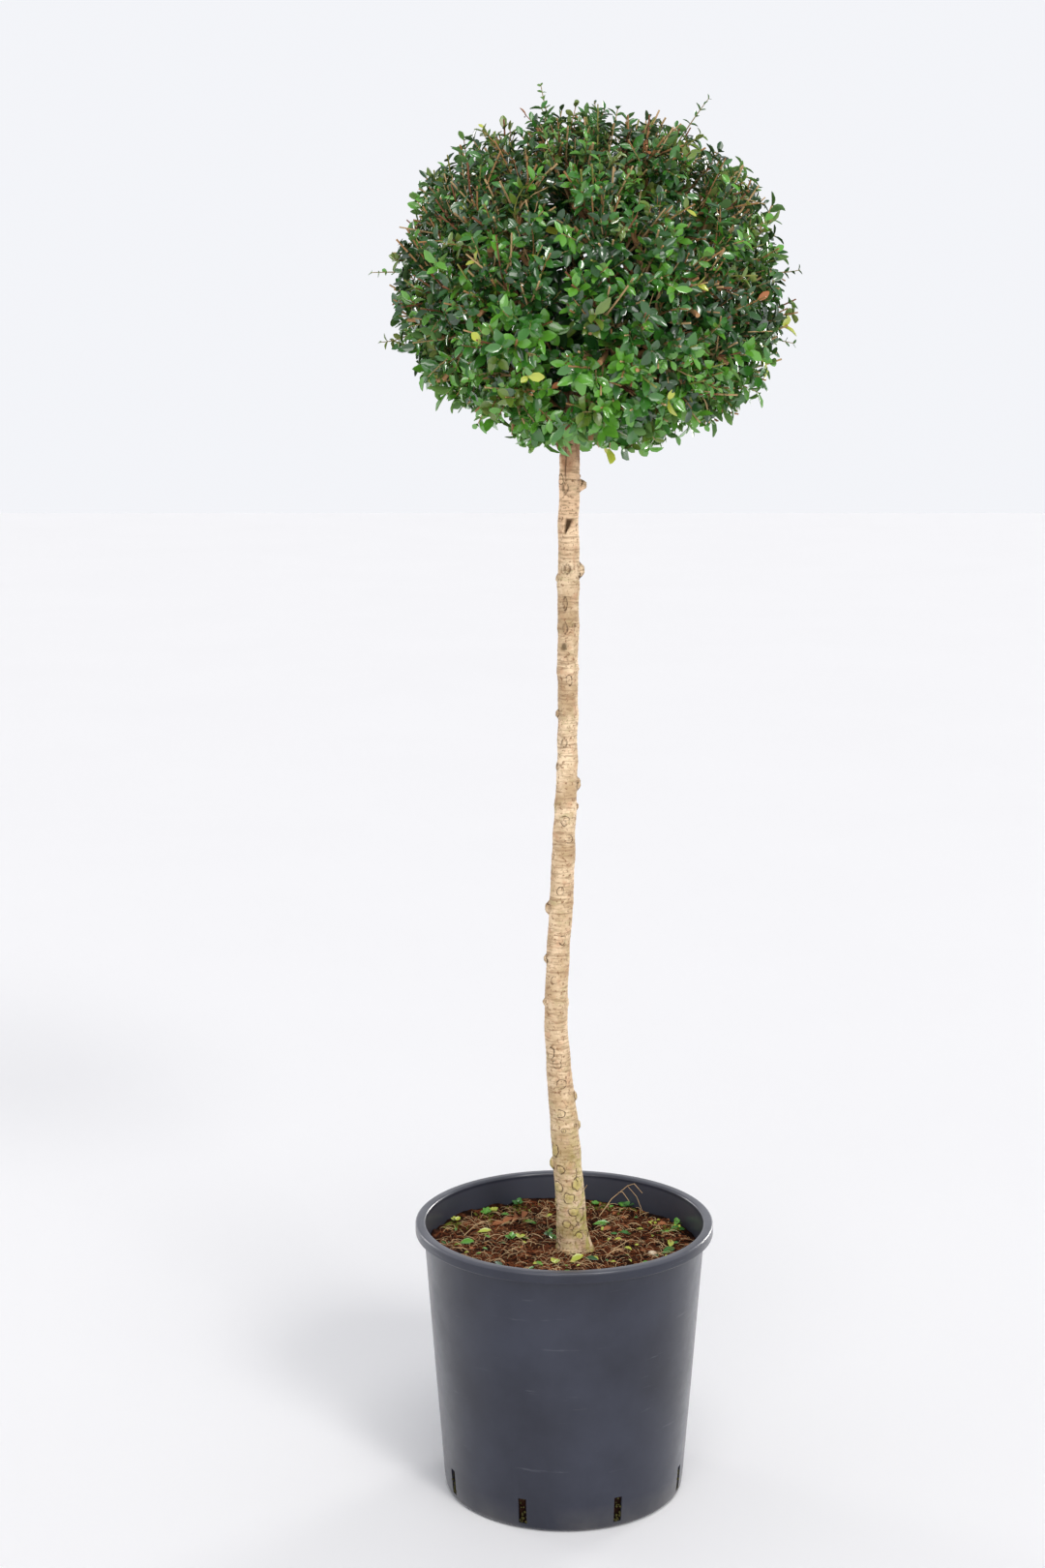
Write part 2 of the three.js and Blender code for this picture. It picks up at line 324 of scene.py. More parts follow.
class Recipe(NodeNet):
    """A Geometry Nodes tree with named inputs, run on an object and turned into a plain mesh."""

    prefix = "GeometryNode"

    def __init__(self, name: str, **asked: str) -> None:
        """Starts a tree.

        Args:
            name: The tree's name.
            asked: Its inputs, with _ for a space, to their kinds.
        """
        self.tree = bpy.data.node_groups.new(name, "GeometryNodeTree")
        self.tree.is_modifier = True
        sockets = self.tree.interface
        for side in ("INPUT", "OUTPUT"):
            sockets.new_socket("Geometry", in_out=side, socket_type="NodeSocketGeometry")
        self.identifiers = {}
        for key, kind in asked.items():
            item = sockets.new_socket(key.replace("_", " "), in_out="INPUT", socket_type="NodeSocket" + kind)
            self.identifiers[key] = item.identifier
        source = self.tree.nodes.new("NodeGroupInput")
        self.geometry, *self.asked = list(source.outputs)[:len(asked) + 1]

    def read(self, name: str, kind: str) -> Socket:
        """Output socket of a named attribute; kind is FLOAT, INT, BOOLEAN or FLOAT_VECTOR."""
        return self.get("InputNamedAttribute", {"Name": name}, data_type=kind)

    def set_out(self, points: Socket, instance: Socket, **inputs: Any) -> Socket:
        """Instances of a shape on points, with Rotation, Scale and the like as further inputs."""
        named = {key.replace("_", " "): value for key, value in inputs.items()}
        return self.get("InstanceOnPoints", {"Points": points, "Instance": instance, **named})

    def finish(self, geometry: Socket, finish: Socket, *others: tuple[Socket, Socket]) -> None:
        """Ends the tree in real geometry that wears its materials.

        Args:
            geometry: The last geometry socket.
            finish: Material of it all.
            others: Face selections, each with the material that it wears instead.
        """
        real = self.get("RealizeInstances", {"Geometry": geometry})
        real = self.get("SetMaterial", {"Geometry": real, "Material": finish})
        for some, other in others:
            real = self.get("SetMaterial", {"Geometry": real, "Selection": some, "Material": other})
        self.tree.links.new(real, self.tree.nodes.new("NodeGroupOutput").inputs["Geometry"])

    def run(self, thing: Thing, **values: Any) -> None:
        """Runs the tree on an object and leaves the result as its plain mesh.

        Args:
            thing: The object whose mesh feeds the tree.
            values: Input names, with _ for a space, to their values.
        """
        modifier = thing.modifiers.new(self.tree.name, "NODES")
        modifier.node_group = self.tree
        for key, value in values.items():
            modifier[self.identifiers[key]] = value
        graph = bpy.context.evaluated_depsgraph_get()
        made = bpy.data.meshes.new_from_object(thing.evaluated_get(graph), depsgraph=graph)
        thing.modifiers.remove(modifier)
        before, thing.data = thing.data, made
        made.name = thing.name
        bpy.data.meshes.remove(before)


# --- finishes


class Shader(NodeNet):
    """A material under construction: one Principled shader and the nodes that feed it."""

    def __init__(self, name: str, roughness: float, **constants: Any) -> None:
        """Starts a material.

        Args:
            name: The material's name.
            roughness: Roughness of its surface.
            constants: Values of the shader's own sockets, with _ for a space.
        """
        self.material = bpy.data.materials.new(name)
        self.material.use_nodes = True
        self.tree = self.material.node_tree
        self.principled = self.tree.nodes["Principled BSDF"]
        for key, value in {"Roughness": roughness, **constants}.items():
            self.principled.inputs[key.replace("_", " ")].default_value = value

    def place(self, upright: float = 1.0) -> Socket:
        """Object coordinates in metres, their Z stretched to make a pattern run along or across."""
        where = self.add("TexCoord").outputs["Object"]
        return self.get("Mapping", {"Vector": where, "Scale": (1.0, 1.0, upright)})

    def speckle(self, where: Socket, scale: float, detail: float = 4.0, rough: float = 0.55) -> Socket:
        """Noise factor of a given scale at a place."""
        settings = {"Vector": where, "Scale": scale, "Detail": detail, "Roughness": rough}
        return self.add("TexNoise", settings).outputs["Fac"]

    def cells(self, where: Socket, scale: float) -> Socket:
        """Distance from the edges of a net of cells."""
        places = {"Vector": where, "Scale": scale}
        return self.add("TexVoronoi", places, feature="DISTANCE_TO_EDGE").outputs[0]

    def level(self, factor: Socket, low: float, high: float, bottom: float = 0.0, top: float = 1.0) -> Socket:
        """Maps a factor's range low to high onto bottom to top, clamped."""
        ranges = {"Value": factor, "From Min": low, "From Max": high, "To Min": bottom, "To Max": top}
        return self.get("MapRange", ranges)

    def blend(self, factor: Any, first: Any, second: Any) -> Socket:
        """Mixes two colours, each a socket or a plain colour."""
        return self.get("Mix", {0: factor, 1: first, 2: second}, data_type="RGBA")

    def layers(self, colour: Socket, *coats: tuple[Socket, Any]) -> Socket:
        """Lays colours over one another, each where its factor says.

        Args:
            colour: The lowest colour.
            coats: Factor and colour of each coat.

        Returns:
            The colour of them all.
        """
        for factor, tone in coats:
            colour = self.blend(factor, colour, tone)
        return colour

    def times(self, first: Socket, second: Socket) -> Socket:
        """Product of two factors."""
        return self.maths("MULTIPLY", first, second)

    def attribute(self, name: str) -> Socket:
        """Factor read from a mesh attribute."""
        return self.add("Attribute", attribute_name=name).outputs["Fac"]

    def feed(self, name: str, socket: Socket) -> None:
        """Links a socket to one of the shader's inputs."""
        self.tree.links.new(socket, self.principled.inputs[name])

    def bump(self, height: Socket, distance: float, strength: float = 1.0) -> None:
        """Feeds the shader's normal from a height factor worth distance metres."""
        self.feed("Normal", self.get("Bump", {"Height": height, "Distance": distance, "Strength": strength}))


@dataclass(frozen=True)
class PotPlastic:
    """Slate-grey moulded plastic, satin, with faint scuffs and a dusty foot; its inner wall is painted a
    lighter grey-blue as painted light, and its rim's top is painted lighter, part wear and part painted
    highlight.
    """

    foot_radius: float
    slope: float                 # how much the wall's radius grows for each metre up
    dark: Colour = (0.010, 0.012, 0.024)
    pale: Colour = (0.023, 0.027, 0.046)
    dust: Colour = (0.13, 0.12, 0.10)
    bloom: Colour = (0.055, 0.060, 0.080)
    scuffed: Colour = (0.10, 0.105, 0.13)
    worn: Colour = (0.12, 0.125, 0.15)
    under_lip: float = 0.289     # heights between which the painted light on the rim's inner wall ends and the rim's top, worn and painted lighter, begins
    lip: float = 0.2915
    lip_top: float = 0.2945
    dusty_to: float = 0.03

    def make(self) -> Material:
        """Builds the material.

        Returns:
            The material.
        """
        shader = Shader("pot_plastic", 0.4, Specular_IOR_Level=0.22, Coat_Weight=0.6, Coat_Roughness=0.24)
        level, speckle, where = shader.level, shader.speckle, shader.place()
        height = shader.rise(where)
        cloud = speckle(where, 9.0, 5.0)
        streak = speckle(shader.place(0.12), 70.0, 3.0)
        scuff = speckle(shader.place(13.0), 17.0, 4.0, 0.6)
        lip = level(height, self.lip, self.lip_top, 0.0, 0.8)
        dusty = level(height, self.dusty_to, 0.0, 0.0, 0.45)
        foot = shader.maths("MULTIPLY_ADD", height, -self.slope, shader.reach(where))
        inner = level(foot, self.foot_radius - 1.6 * MM, self.foot_radius - 1.1 * MM, 1.0, 0.0)
        shader.feed("Base Color", shader.layers(
            shader.ramp(level(cloud, 0.35, 0.68), (0.0, self.dark), (1.0, self.pale)),
            (level(streak, 0.58, 0.78, 0.0, 0.35), self.pale),
            (level(scuff, 0.66, 0.73, 0.0, 0.3), self.scuffed),
            # the rim's top: wear, with painted light where it faces the lamps
            (shader.times(lip, level(cloud, 0.3, 0.6, 0.4, 1.0)), self.worn),
            # painted light: the inner wall below the rim is painted a lighter grey-blue
            (shader.times(inner, level(height, self.lip, self.under_lip, 0.0, 0.75)), self.bloom),
            (shader.times(dusty, level(cloud, 0.4, 0.62)), self.dust)))
        shader.feed("Roughness", level(speckle(where, 22.0, 6.0, 0.7), 0.3, 0.7, 0.31, 0.47))
        shader.bump(speckle(where, 900.0, 2.0), 0.00006, 0.5)
        return shader.material


@dataclass(frozen=True)
class CoirBed:
    """Damp red-brown coir compost, painted dark between its clods, in their pits and low down in the pot, as
    painted shade.
    """

    # deep is painted shade: the colour of the pits, the gaps between crumbs and the bed low in the pot
    deep: Colour = (0.010, 0.003, 0.001)
    brown: Colour = (0.120, 0.034, 0.012)
    tan: Colour = (0.46, 0.24, 0.115)

    def make(self) -> Material:
        """Builds the material.

        Returns:
            The material.
        """
        shader = Shader("coir_bed", 0.9, Specular_IOR_Level=0.1)
        where = shader.place()
        clods = shader.speckle(where, 60.0, 8.0, 0.7)
        shader.feed("Base Color", shader.layers(
            # painted shade: deep in the pits of the same noise that makes the bump, along the gaps between
            # crumbs, and below 0.06 to 0.10 m in the pot
            shader.ramp(clods, (0.43, self.deep), (0.54, self.brown), (0.68, self.tan)),
            (shader.level(shader.cells(where, 420.0), 0.0, 0.25, 0.75, 0.0), self.deep),
            (shader.level(shader.rise(where), 0.06, 0.10, 0.8, 0.0), self.deep)))
        shader.bump(clods, 0.005, 1.0)
        return shader.material


@dataclass(frozen=True)
class StemBark:
    """Pale tan stem bark: finely wrinkled across, with dark broken outlines round its healed shoots, painted
    lighter and warmer towards the top as painted light under the crown.
    """

    pale: Colour = (0.86, 0.67, 0.45)
    tan: Colour = (0.52, 0.365, 0.21)
    warm: Colour = (0.98, 0.66, 0.42)
    rosy: Colour = (0.56, 0.31, 0.18)
    olive: Colour = (0.42, 0.36, 0.17)
    wrinkle: Colour = (0.29, 0.175, 0.09)
    freckle: Colour = (0.22, 0.105, 0.045)
    red: Colour = (0.30, 0.135, 0.062)
    dark: Colour = (0.085, 0.048, 0.020)
    moss: Colour = (0.37, 0.36, 0.055)
    yellow: Colour = (0.68, 0.60, 0.17)
    warm_from: float = 0.99      # heights between which the bark grows warmer and is painted lighter, as painted light under the crown's shadow
    warm_full: float = 1.06

    def make(self) -> Material:
        """Builds the material.

        Returns:
            The material.
        """
        shader = Shader("stem_bark", 0.72, Specular_IOR_Level=0.3)
        level, speckle, where = shader.level, shader.speckle, shader.place()
        mossy, young = shader.attribute("mossy"), shader.attribute("young")
        freckles = speckle(where, 330.0, 3.0, 0.6)
        wrinkles = speckle(shader.place(8.0), 62.0, 5.0, 0.62)
        blots = level(speckle(where, 95.0, 5.0, 0.65), 0.42, 0.56, 0.0, 0.8)
        ribs = level(speckle(shader.place(0.2), 180.0, 4.0, 0.6), 0.40, 0.62, 0.62, 1.0)
        # how near a healed shoot's rim is, and the broken outline there
        wobble = level(speckle(where, 150.0, 3.0, 0.6), 0.3, 0.7, -0.26, 0.26)
        near = shader.maths("ADD", shader.attribute("ring"), wobble)
        gap = shader.maths("ABSOLUTE", shader.maths("SUBTRACT", near, 1.0))
        broken = level(speckle(where, 105.0, 2.0, 0.5), 0.41, 0.53, 0.0, 0.95)
        # thin curved lines that run together near the foot
        push = shader.add("TexNoise", {"Vector": where, "Scale": 130.0, "Detail": 2.0}).outputs["Color"]
        even = shader.vectors("SUBTRACT", push, (0.5, 0.5, 0.5))
        cells = shader.cells(shader.vectors("MULTIPLY_ADD", even, (0.009, 0.009, 0.009), where), 88.0)
        here = level(speckle(where, 58.0, 2.0, 0.5), 0.55, 0.61)
        cracks = shader.times(level(cells, 0.015, 0.065, 0.9, 0.0), here)
        shader.feed("Base Color", shader.layers(
            shader.ramp(speckle(where, 42.0, 5.0, 0.6), (0.36, self.pale), (0.62, self.tan)),
            # painted light: towards the top the bark is painted lighter and warmer, against the crown's
            # shadow
            (level(shader.rise(where), self.warm_from, self.warm_full, 0.0, 0.65), self.warm),
            (level(speckle(where, 88.0, 4.0, 0.6), 0.53, 0.68, 0.0, 0.6), self.rosy),
            (level(speckle(shader.place(1.6), 61.0, 4.0, 0.6), 0.55, 0.70, 0.0, 0.55), self.olive),
            (level(wrinkles, 0.48, 0.63, 0.0, 0.72), self.wrinkle),
            (level(freckles, 0.56, 0.66, 0.0, 0.8), self.freckle),
            (shader.times(mossy, blots), self.moss),
            (shader.times(level(near, 0.70, 1.0, 0.85, 0.0), mossy), self.yellow),
            (shader.times(young, ribs), self.red),
            (shader.times(level(gap, 0.05, 0.15, 1.0, 0.0), broken), self.dark),
            (shader.times(cracks, level(mossy, 0.05, 0.45)), self.dark),
            (shader.attribute("wound"), self.dark)))
        shader.bump(shader.blend(0.6, freckles, wrinkles), 0.0009, 0.8)
        return shader.material


@dataclass(frozen=True)
class Mottle:
    """Two colours in soft patches, with a little relief where it is asked for."""

    name: str
    first: tuple[float, Colour]
    second: tuple[float, Colour]
    scale: float
    detail: float
    roughness: float
    specular: float
    rough: float = 0.55
    relief: float = 0.0

    def make(self) -> Material:
        """Builds the material.

        Returns:
            The material.
        """
        shader = Shader(self.name, self.roughness, Specular_IOR_Level=self.specular)
        patches = shader.speckle(shader.place(), self.scale, self.detail, self.rough)
        shader.feed("Base Color", shader.ramp(patches, self.first, self.second))
        if self.relief:
            shader.bump(patches, self.relief, 0.8)
        return shader.material


BOUGH_BARK = Mottle(
    "bough_bark", (0.35, (0.13, 0.06, 0.03)), (0.62, (0.42, 0.235, 0.115)),
    160.0, 5.0, 0.78, 0.3, 0.65, 0.0008)
CREAM_PEBBLE = Mottle(
    "cream_pebble", (0.4, (0.80, 0.68, 0.52)), (0.62, (0.62, 0.48, 0.34)), 420.0, 4.0, 0.5, 0.4)
PALE_FLOOR = Mottle(
    "pale_floor", (0.3, (0.895, 0.90, 0.92)), (0.7, (0.905, 0.91, 0.93)), 1.3, 3.0, 0.6, 0.25)


@dataclass(frozen=True)
class PlainFinish:
    """One plain colour and gloss, for the small pieces whose colours are dealt out piece by piece."""

    name: str
    colour: Colour
    roughness: float = 0.6
    specular: float = 0.35
    coat: tuple[float, float] = (0.0, 0.2)      # its weight and roughness

    def make(self) -> Material:
        """Builds the material.

        Returns:
            The material.
        """
        weight, rough = self.coat
        return Shader(
            self.name, self.roughness, Base_Color=(*self.colour, 1.0), Specular_IOR_Level=self.specular,
            Coat_Weight=weight, Coat_Roughness=rough).material


class LeafTone(Enum):
    """Leaf colours that are dealt out by spray: name, then upper and lower side."""

    DEEP = ("deep", (0.010, 0.056, 0.009), (0.06, 0.115, 0.04))
    DARK = ("dark", (0.018, 0.092, 0.013), (0.08, 0.165, 0.05))
    MID = ("mid", (0.036, 0.166, 0.017), (0.12, 0.245, 0.07))
    FRESH = ("fresh", (0.105, 0.325, 0.028), (0.19, 0.36, 0.09))
    OLIVE = ("olive", (0.125, 0.205, 0.026), (0.21, 0.27, 0.07))
    LIME = ("lime", (0.46, 0.52, 0.060), (0.45, 0.50, 0.12))
    BROWN = ("brown", (0.34, 0.12, 0.040), (0.34, 0.16, 0.07))

    def finishes(self) -> tuple[Material, Material]:
        """Upper and duller lower material of this tone; only the living tones are glossy.

        Returns:
            The two materials.
        """
        name, upper, under = self.value
        roughness, coat = (0.62, 0.0) if self is LeafTone.BROWN else (0.28, 0.9)
        top = PlainFinish(f"leaf_{name}", upper, roughness, 0.5, (coat, 0.05))
        return top.make(), PlainFinish(f"leaf_{name}_under", under, 0.6, 0.3).make()


class TwigTone(Enum):
    """Bark colours of the twigs, dealt out by twig: name, colour, and share of the twigs."""

    TAN = ("tan", (0.48, 0.32, 0.155), 0.46)
    ORANGE = ("orange", (0.36, 0.19, 0.075), 0.28)
    RUSSET = ("russet", (0.22, 0.085, 0.042), 0.11)
    GREEN = ("green", (0.25, 0.25, 0.06), 0.15)


# --- pot


@dataclass
class Pot:
    """Thin tapering pot with a rolled rim and upright drain slots round its foot."""

    wall: float = 2.2 * MM
    floor: float = 3.0 * MM
    rim_height: float = 12.0 * MM
    rim_width: float = 10.6 * MM
    rim_round: float = 2.6 * MM
    rim_overhang: float = 9.0 * MM
    corner: float = 5.5 * MM
    columns: int = 224
    slot_count: int = 8
    slot_depth: float = 16.0 * MM
    slot_width: float = 8.7 * MM
    slot_height: float = 28.0 * MM
    slot_sill: float = 7.0 * MM
    slot_turn: float = math.radians(-65.2)
    unevenness: float = 0.35 * MM
    sharp_from: float = math.radians(42)

    def __post_init__(self) -> None:
        """Takes the pot's height and radii from the frame."""
        low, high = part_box("pot")
        self.height = high.z
        self.rim_radius = (high.x - low.x) / 2
        mesh = frame["nodes"]["pot"].data
        self.foot_radius = max(v.co.xy.length for v in mesh.vertices if v.co.z < self.corner + MM)
        self.shoulder = self.rim_radius - self.rim_overhang
        self.slope = (self.shoulder - self.foot_radius) / (self.height - self.rim_height)

    def wall_radius(self, height: float) -> float:
        """Outside radius of the wall at a height."""
        return self.foot_radius + self.slope * height

    def outline(self) -> Outline:
        """Closed section of the wall, from the foot's centre round to the floor's centre.

        Returns:
            Radius and height of each point.
        """
        top, under = self.height, self.height - self.rim_height
        inner = self.rim_radius - self.rim_width
        points = [(0.0, 0.0), (0.05, 0.0), (0.1, 0.0), (self.foot_radius - self.corner, 0.0)]
        points += self.arc(self.foot_radius - self.corner, self.corner, self.corner, -90, 0, 6)
        points += [(self.wall_radius(z), z) for z in np.linspace(0.012, under - 5 * MM, 26)]
        points += self.arc(self.wall_radius(under) + 1.2 * MM, under - 1.2 * MM, 1.2 * MM, 180, 90, 4)
        points += self.arc(self.rim_radius - 1.4 * MM, under + 1.4 * MM, 1.4 * MM, -90, 0, 5)
        points += [(self.rim_radius, under + (top - under) * 0.45)]
        points += self.arc(self.rim_radius - self.rim_round, top - self.rim_round, self.rim_round, 0, 90, 7)
        points += self.arc(inner + self.rim_round, top - self.rim_round, self.rim_round, 90, 180, 7)
        points += [(self.wall_radius(z) - self.wall, z) for z in np.linspace(under, self.floor + 4 * MM, 14)]
        points += [(out, self.floor) for out in (self.wall_radius(self.floor) - self.wall, 0.06, 0.0)]
        return points

    @staticmethod
    def arc(x: float, z: float, radius: float, first: float, last: float, count: int) -> Outline:
        """Points of an arc about (x, z), with its angles in degrees."""
        turns = np.radians(np.linspace(first, last, count))
        return [(x + radius * math.cos(t), z + radius * math.sin(t)) for t in turns]

    def shell(self) -> Thing:
        """Turns the section into a closed shell, its moulded wall a little uneven.

        Returns:
            The shell, without its slots.
        """
        turns = turns_round(self.columns)
        rings = []
        for radius, height in self.outline()[1:-1]:
            ease = smooth_step(0.02, 0.12, height)
            wave = np.sin(2 * turns + 0.6) + 0.6 * np.sin(5 * turns + 2.1 + 9 * height)
            wave = self.unevenness * ease * wave
            rings.append(ring_points(radius + (wave if radius > 0.11 else 0.0), turns, height))
        return closed_tube("pot_shell", rings, (0, 0, 0), (0, 0, self.floor))

    def slot_recipe(self) -> Recipe:
        """Geometry Nodes that cut a ring of upright slots through the wall.

        Returns:
            The recipe.
        """
        recipe = Recipe(
            "drain_slots", Count="Int", Ring_Radius="Float", Slot_Width="Float", Slot_Height="Float",
            Sill="Float", First_Turn="Float", Finish="Material")
        count, radius, width, height, sill, turn, finish = recipe.asked
        get, vector = recipe.get, "ShaderNodeCombineXYZ"
        step = recipe.maths("DIVIDE", FULL_TURN, count)
        angle = recipe.maths("MULTIPLY", get("InputIndex"), step)
        block = get("MeshCube", {"Size": get(vector, {"X": self.slot_depth, "Y": width, "Z": height})})
        ring = get("MeshCircle", {"Vertices": count, "Radius": radius})
        blocks = recipe.set_out(ring, block, Rotation=get(vector, {"Z": angle}))
        lift = get(vector, {"Z": recipe.maths("MULTIPLY_ADD", height, 0.5, sill)})
        first = get(vector, {"Z": turn})
        placed = get("Transform", {"Geometry": blocks, "Translation": lift, "Rotation": first})
        cut = recipe.add("MeshBoolean", operation="DIFFERENCE", solver="EXACT")
        recipe.tree.links.new(recipe.geometry, cut.inputs["Mesh 1"])
        recipe.tree.links.new(get("RealizeInstances", {"Geometry": placed}), cut.inputs["Mesh 2"])
        recipe.finish(cut.outputs["Mesh"], finish)
        return recipe

    def build(self) -> None:
        """Makes the pot, cuts its slots and dresses it."""
        pot = self.shell()
        self.slot_recipe().run(
            pot, Count=self.slot_count, Ring_Radius=self.foot_radius, Slot_Width=self.slot_width,
            Slot_Height=self.slot_height, Sill=self.slot_sill, First_Turn=self.slot_turn,
            Finish=PotPlastic(self.foot_radius, self.slope).make())
        pot.data.set_sharp_from_angle(angle=self.sharp_from)
        finish_piece(pot, "pot_plastic", ["pot"])


# --- stem


class ScarKind(Enum):
    """How a trimmed side shoot has healed."""

    EYE = "thin dark ring round a slightly raised bud"
    LENS = "upright oval with raised lips and a pale plug"
    STUB = "knob that stands out, with a dark crease round it"
    HOLE = "dark open wedge"
    CRACK = "long upright split"
    BLOTCH = "flat red-brown patch"


@dataclass(frozen=True)
class Scar:
    """One healed shoot: height up the stem, side in degrees from +X, half width, half height and relief."""

    kind: ScarKind
    height: float
    side: float
    width: float
    tall: float
    relief: float


def front_scars() -> list[Scar]:
    """Scars on the side that is seen first, from the crown down.

    Returns:
        The scars; their table has sizes in millimetres.
    """
    eye, lens, stub = ScarKind.EYE, ScarKind.LENS, ScarKind.STUB
    rows = [
        (ScarKind.CRACK, 1.098, -116, 1.3, 20, 1.2), (lens, 1.070, -115, 3.6, 6.4, 1.6),
        (stub, 1.072, 2, 5.0, 6.0, 6.5), (ScarKind.HOLE, 1.031, -100, 4.5, 7.6, 4.4),
        (lens, 0.988, -98, 3.5, 6.0, 1.7), (stub, 0.986, 4, 5.0, 7.5, 4.5),
        (stub, 0.978, 176, 3.0, 4.0, 1.6), (lens, 0.953, -108, 2.4, 8.5, 1.4),
        (lens, 0.930, -60, 2.0, 3.5, 0.8), (ScarKind.BLOTCH, 0.909, -113, 3.2, 4.6, 0.0),
        (lens, 0.928, -107, 2.6, 6.5, 1.4), (eye, 0.875, -85, 3.0, 5.0, 0.7),
        (lens, 0.810, -107, 3.2, 5.5, 1.0), (stub, 0.766, 3, 4.5, 7.0, 3.2),
        (eye, 0.729, -90, 4.2, 5.0, 0.8), (eye, 0.710, -70, 3.8, 4.6, 0.7),
        (stub, 0.635, 178, 4.5, 7.0, 3.2), (eye, 0.655, -100, 3.6, 4.4, 0.7),
        (eye, 0.603, -75, 3.8, 4.6, 0.7), (eye, 0.560, -104, 3.6, 4.4, 0.6),
        (eye, 0.520, -82, 3.8, 4.2, 0.6), (eye, 0.481, -126, 5.2, 6.0, 0.8),
        (eye, 0.469, -94, 4.0, 4.8, 0.6), (eye, 0.447, -82, 5.6, 4.6, 1.0),
        (stub, 0.431, -6, 4.5, 5.0, 2.2), (eye, 0.415, -104, 5.6, 4.4, 1.0),
        (eye, 0.396, -96, 2.6, 2.4, 0.5), (lens, 0.400, -39, 2.6, 3.8, 0.9),
        (stub, 0.398, 8, 4.0, 5.0, 2.2), (stub, 0.357, 186, 5.0, 6.0, 2.6),
        (eye, 0.353, -119, 4.6, 4.6, 1.0), (eye, 0.337, -54, 6.4, 6.8, 1.1),
        (eye, 0.334, -140, 6.2, 6.0, 1.1), (eye, 0.323, -93, 5.6, 5.2, 0.9),
        (eye, 0.307, -81, 6.2, 4.4, 1.0), (eye, 0.294, -108, 5.2, 4.4, 0.8),
        (eye, 0.281, -64, 4.6, 3.8, 0.7),
    ]
    return [Scar(*row[:3], *(size * MM for size in row[3:])) for row in rows]


def hidden_scars(low: float, high: float, seed: int = 11) -> list[Scar]:
    """Seeded scars for the sides and back: opposite pairs that turn a quarter from one joint to the next.

    Args:
        low: Height where the bare stem starts.
        high: Height where it ends.
        seed: Seed of the draws.

    Returns:
        The scars.
    """
    random = np.random.default_rng(seed)
    reliefs = {ScarKind.STUB: 2.6 * MM, ScarKind.LENS: 1.0 * MM, ScarKind.EYE: 0.8 * MM}
    scars, height, joint = [], low + 0.012, 0
    while height < high - 0.02:
        for side in (0.0, 180.0):
            turn = (20 + 90 * joint + side + random.normal(0, 12)) % 360
            if 215 < turn < 325 or random.random() < 0.25:
                continue
            kind = random.choice([ScarKind.EYE, ScarKind.LENS, ScarKind.EYE, ScarKind.STUB])
            size = random.uniform(2.4, 5.4) * MM * (1.15 if height < 0.5 else 0.85)
            level = height + random.normal(0, 3) * MM
            scars.append(Scar(kind, level, turn, size, size * 1.15, reliefs[kind]))
        height += random.uniform(0.017, 0.034)
        joint += 1
    return scars


class StemLine:
    """Centre line and girth of the stem, read from the frame's trunk."""

    BANDS = 56
    BAND = 0.012            # half height of the band of vertices that is averaged

    def __init__(self) -> None:
        """Averages the trunk's vertices in level bands."""
        points = node_points("trunk")
        self.low, self.high = points[:, 2].min(), points[:, 2].max()
        self.levels = np.linspace(self.low, self.high, self.BANDS)
        middles, girths = [], []
        for level in self.levels:
            weight = bump_of(points[:, 2], level, self.BAND)[:, None]
            middle = (points * weight).sum(0) / weight.sum()
            spread = np.linalg.norm(points[:, :2] - middle[:2], axis=1)
            near = np.abs(points[:, 2] - level) < self.BAND
            near &= spread > 0.5 * np.median(spread[near])
            middles.append(middle[:2])
            girths.append(np.median(spread[near]))
        self.middles = np.array(middles)
        padded = np.pad(girths, 2, mode="edge")
        self.girths = np.convolve(padded, np.array([1, 2, 3, 2, 1]) / 9, "valid")

    def middle(self, height: Array) -> Array:
        """Centre of the stem, as X and Y, at each height."""
        return np.stack([np.interp(height, self.levels, self.middles[:, i]) for i in (0, 1)], axis=-1)

    def radius(self, height: Array) -> Array:
        """Plain radius of the stem at each height."""
        return np.interp(height, self.levels, self.girths)


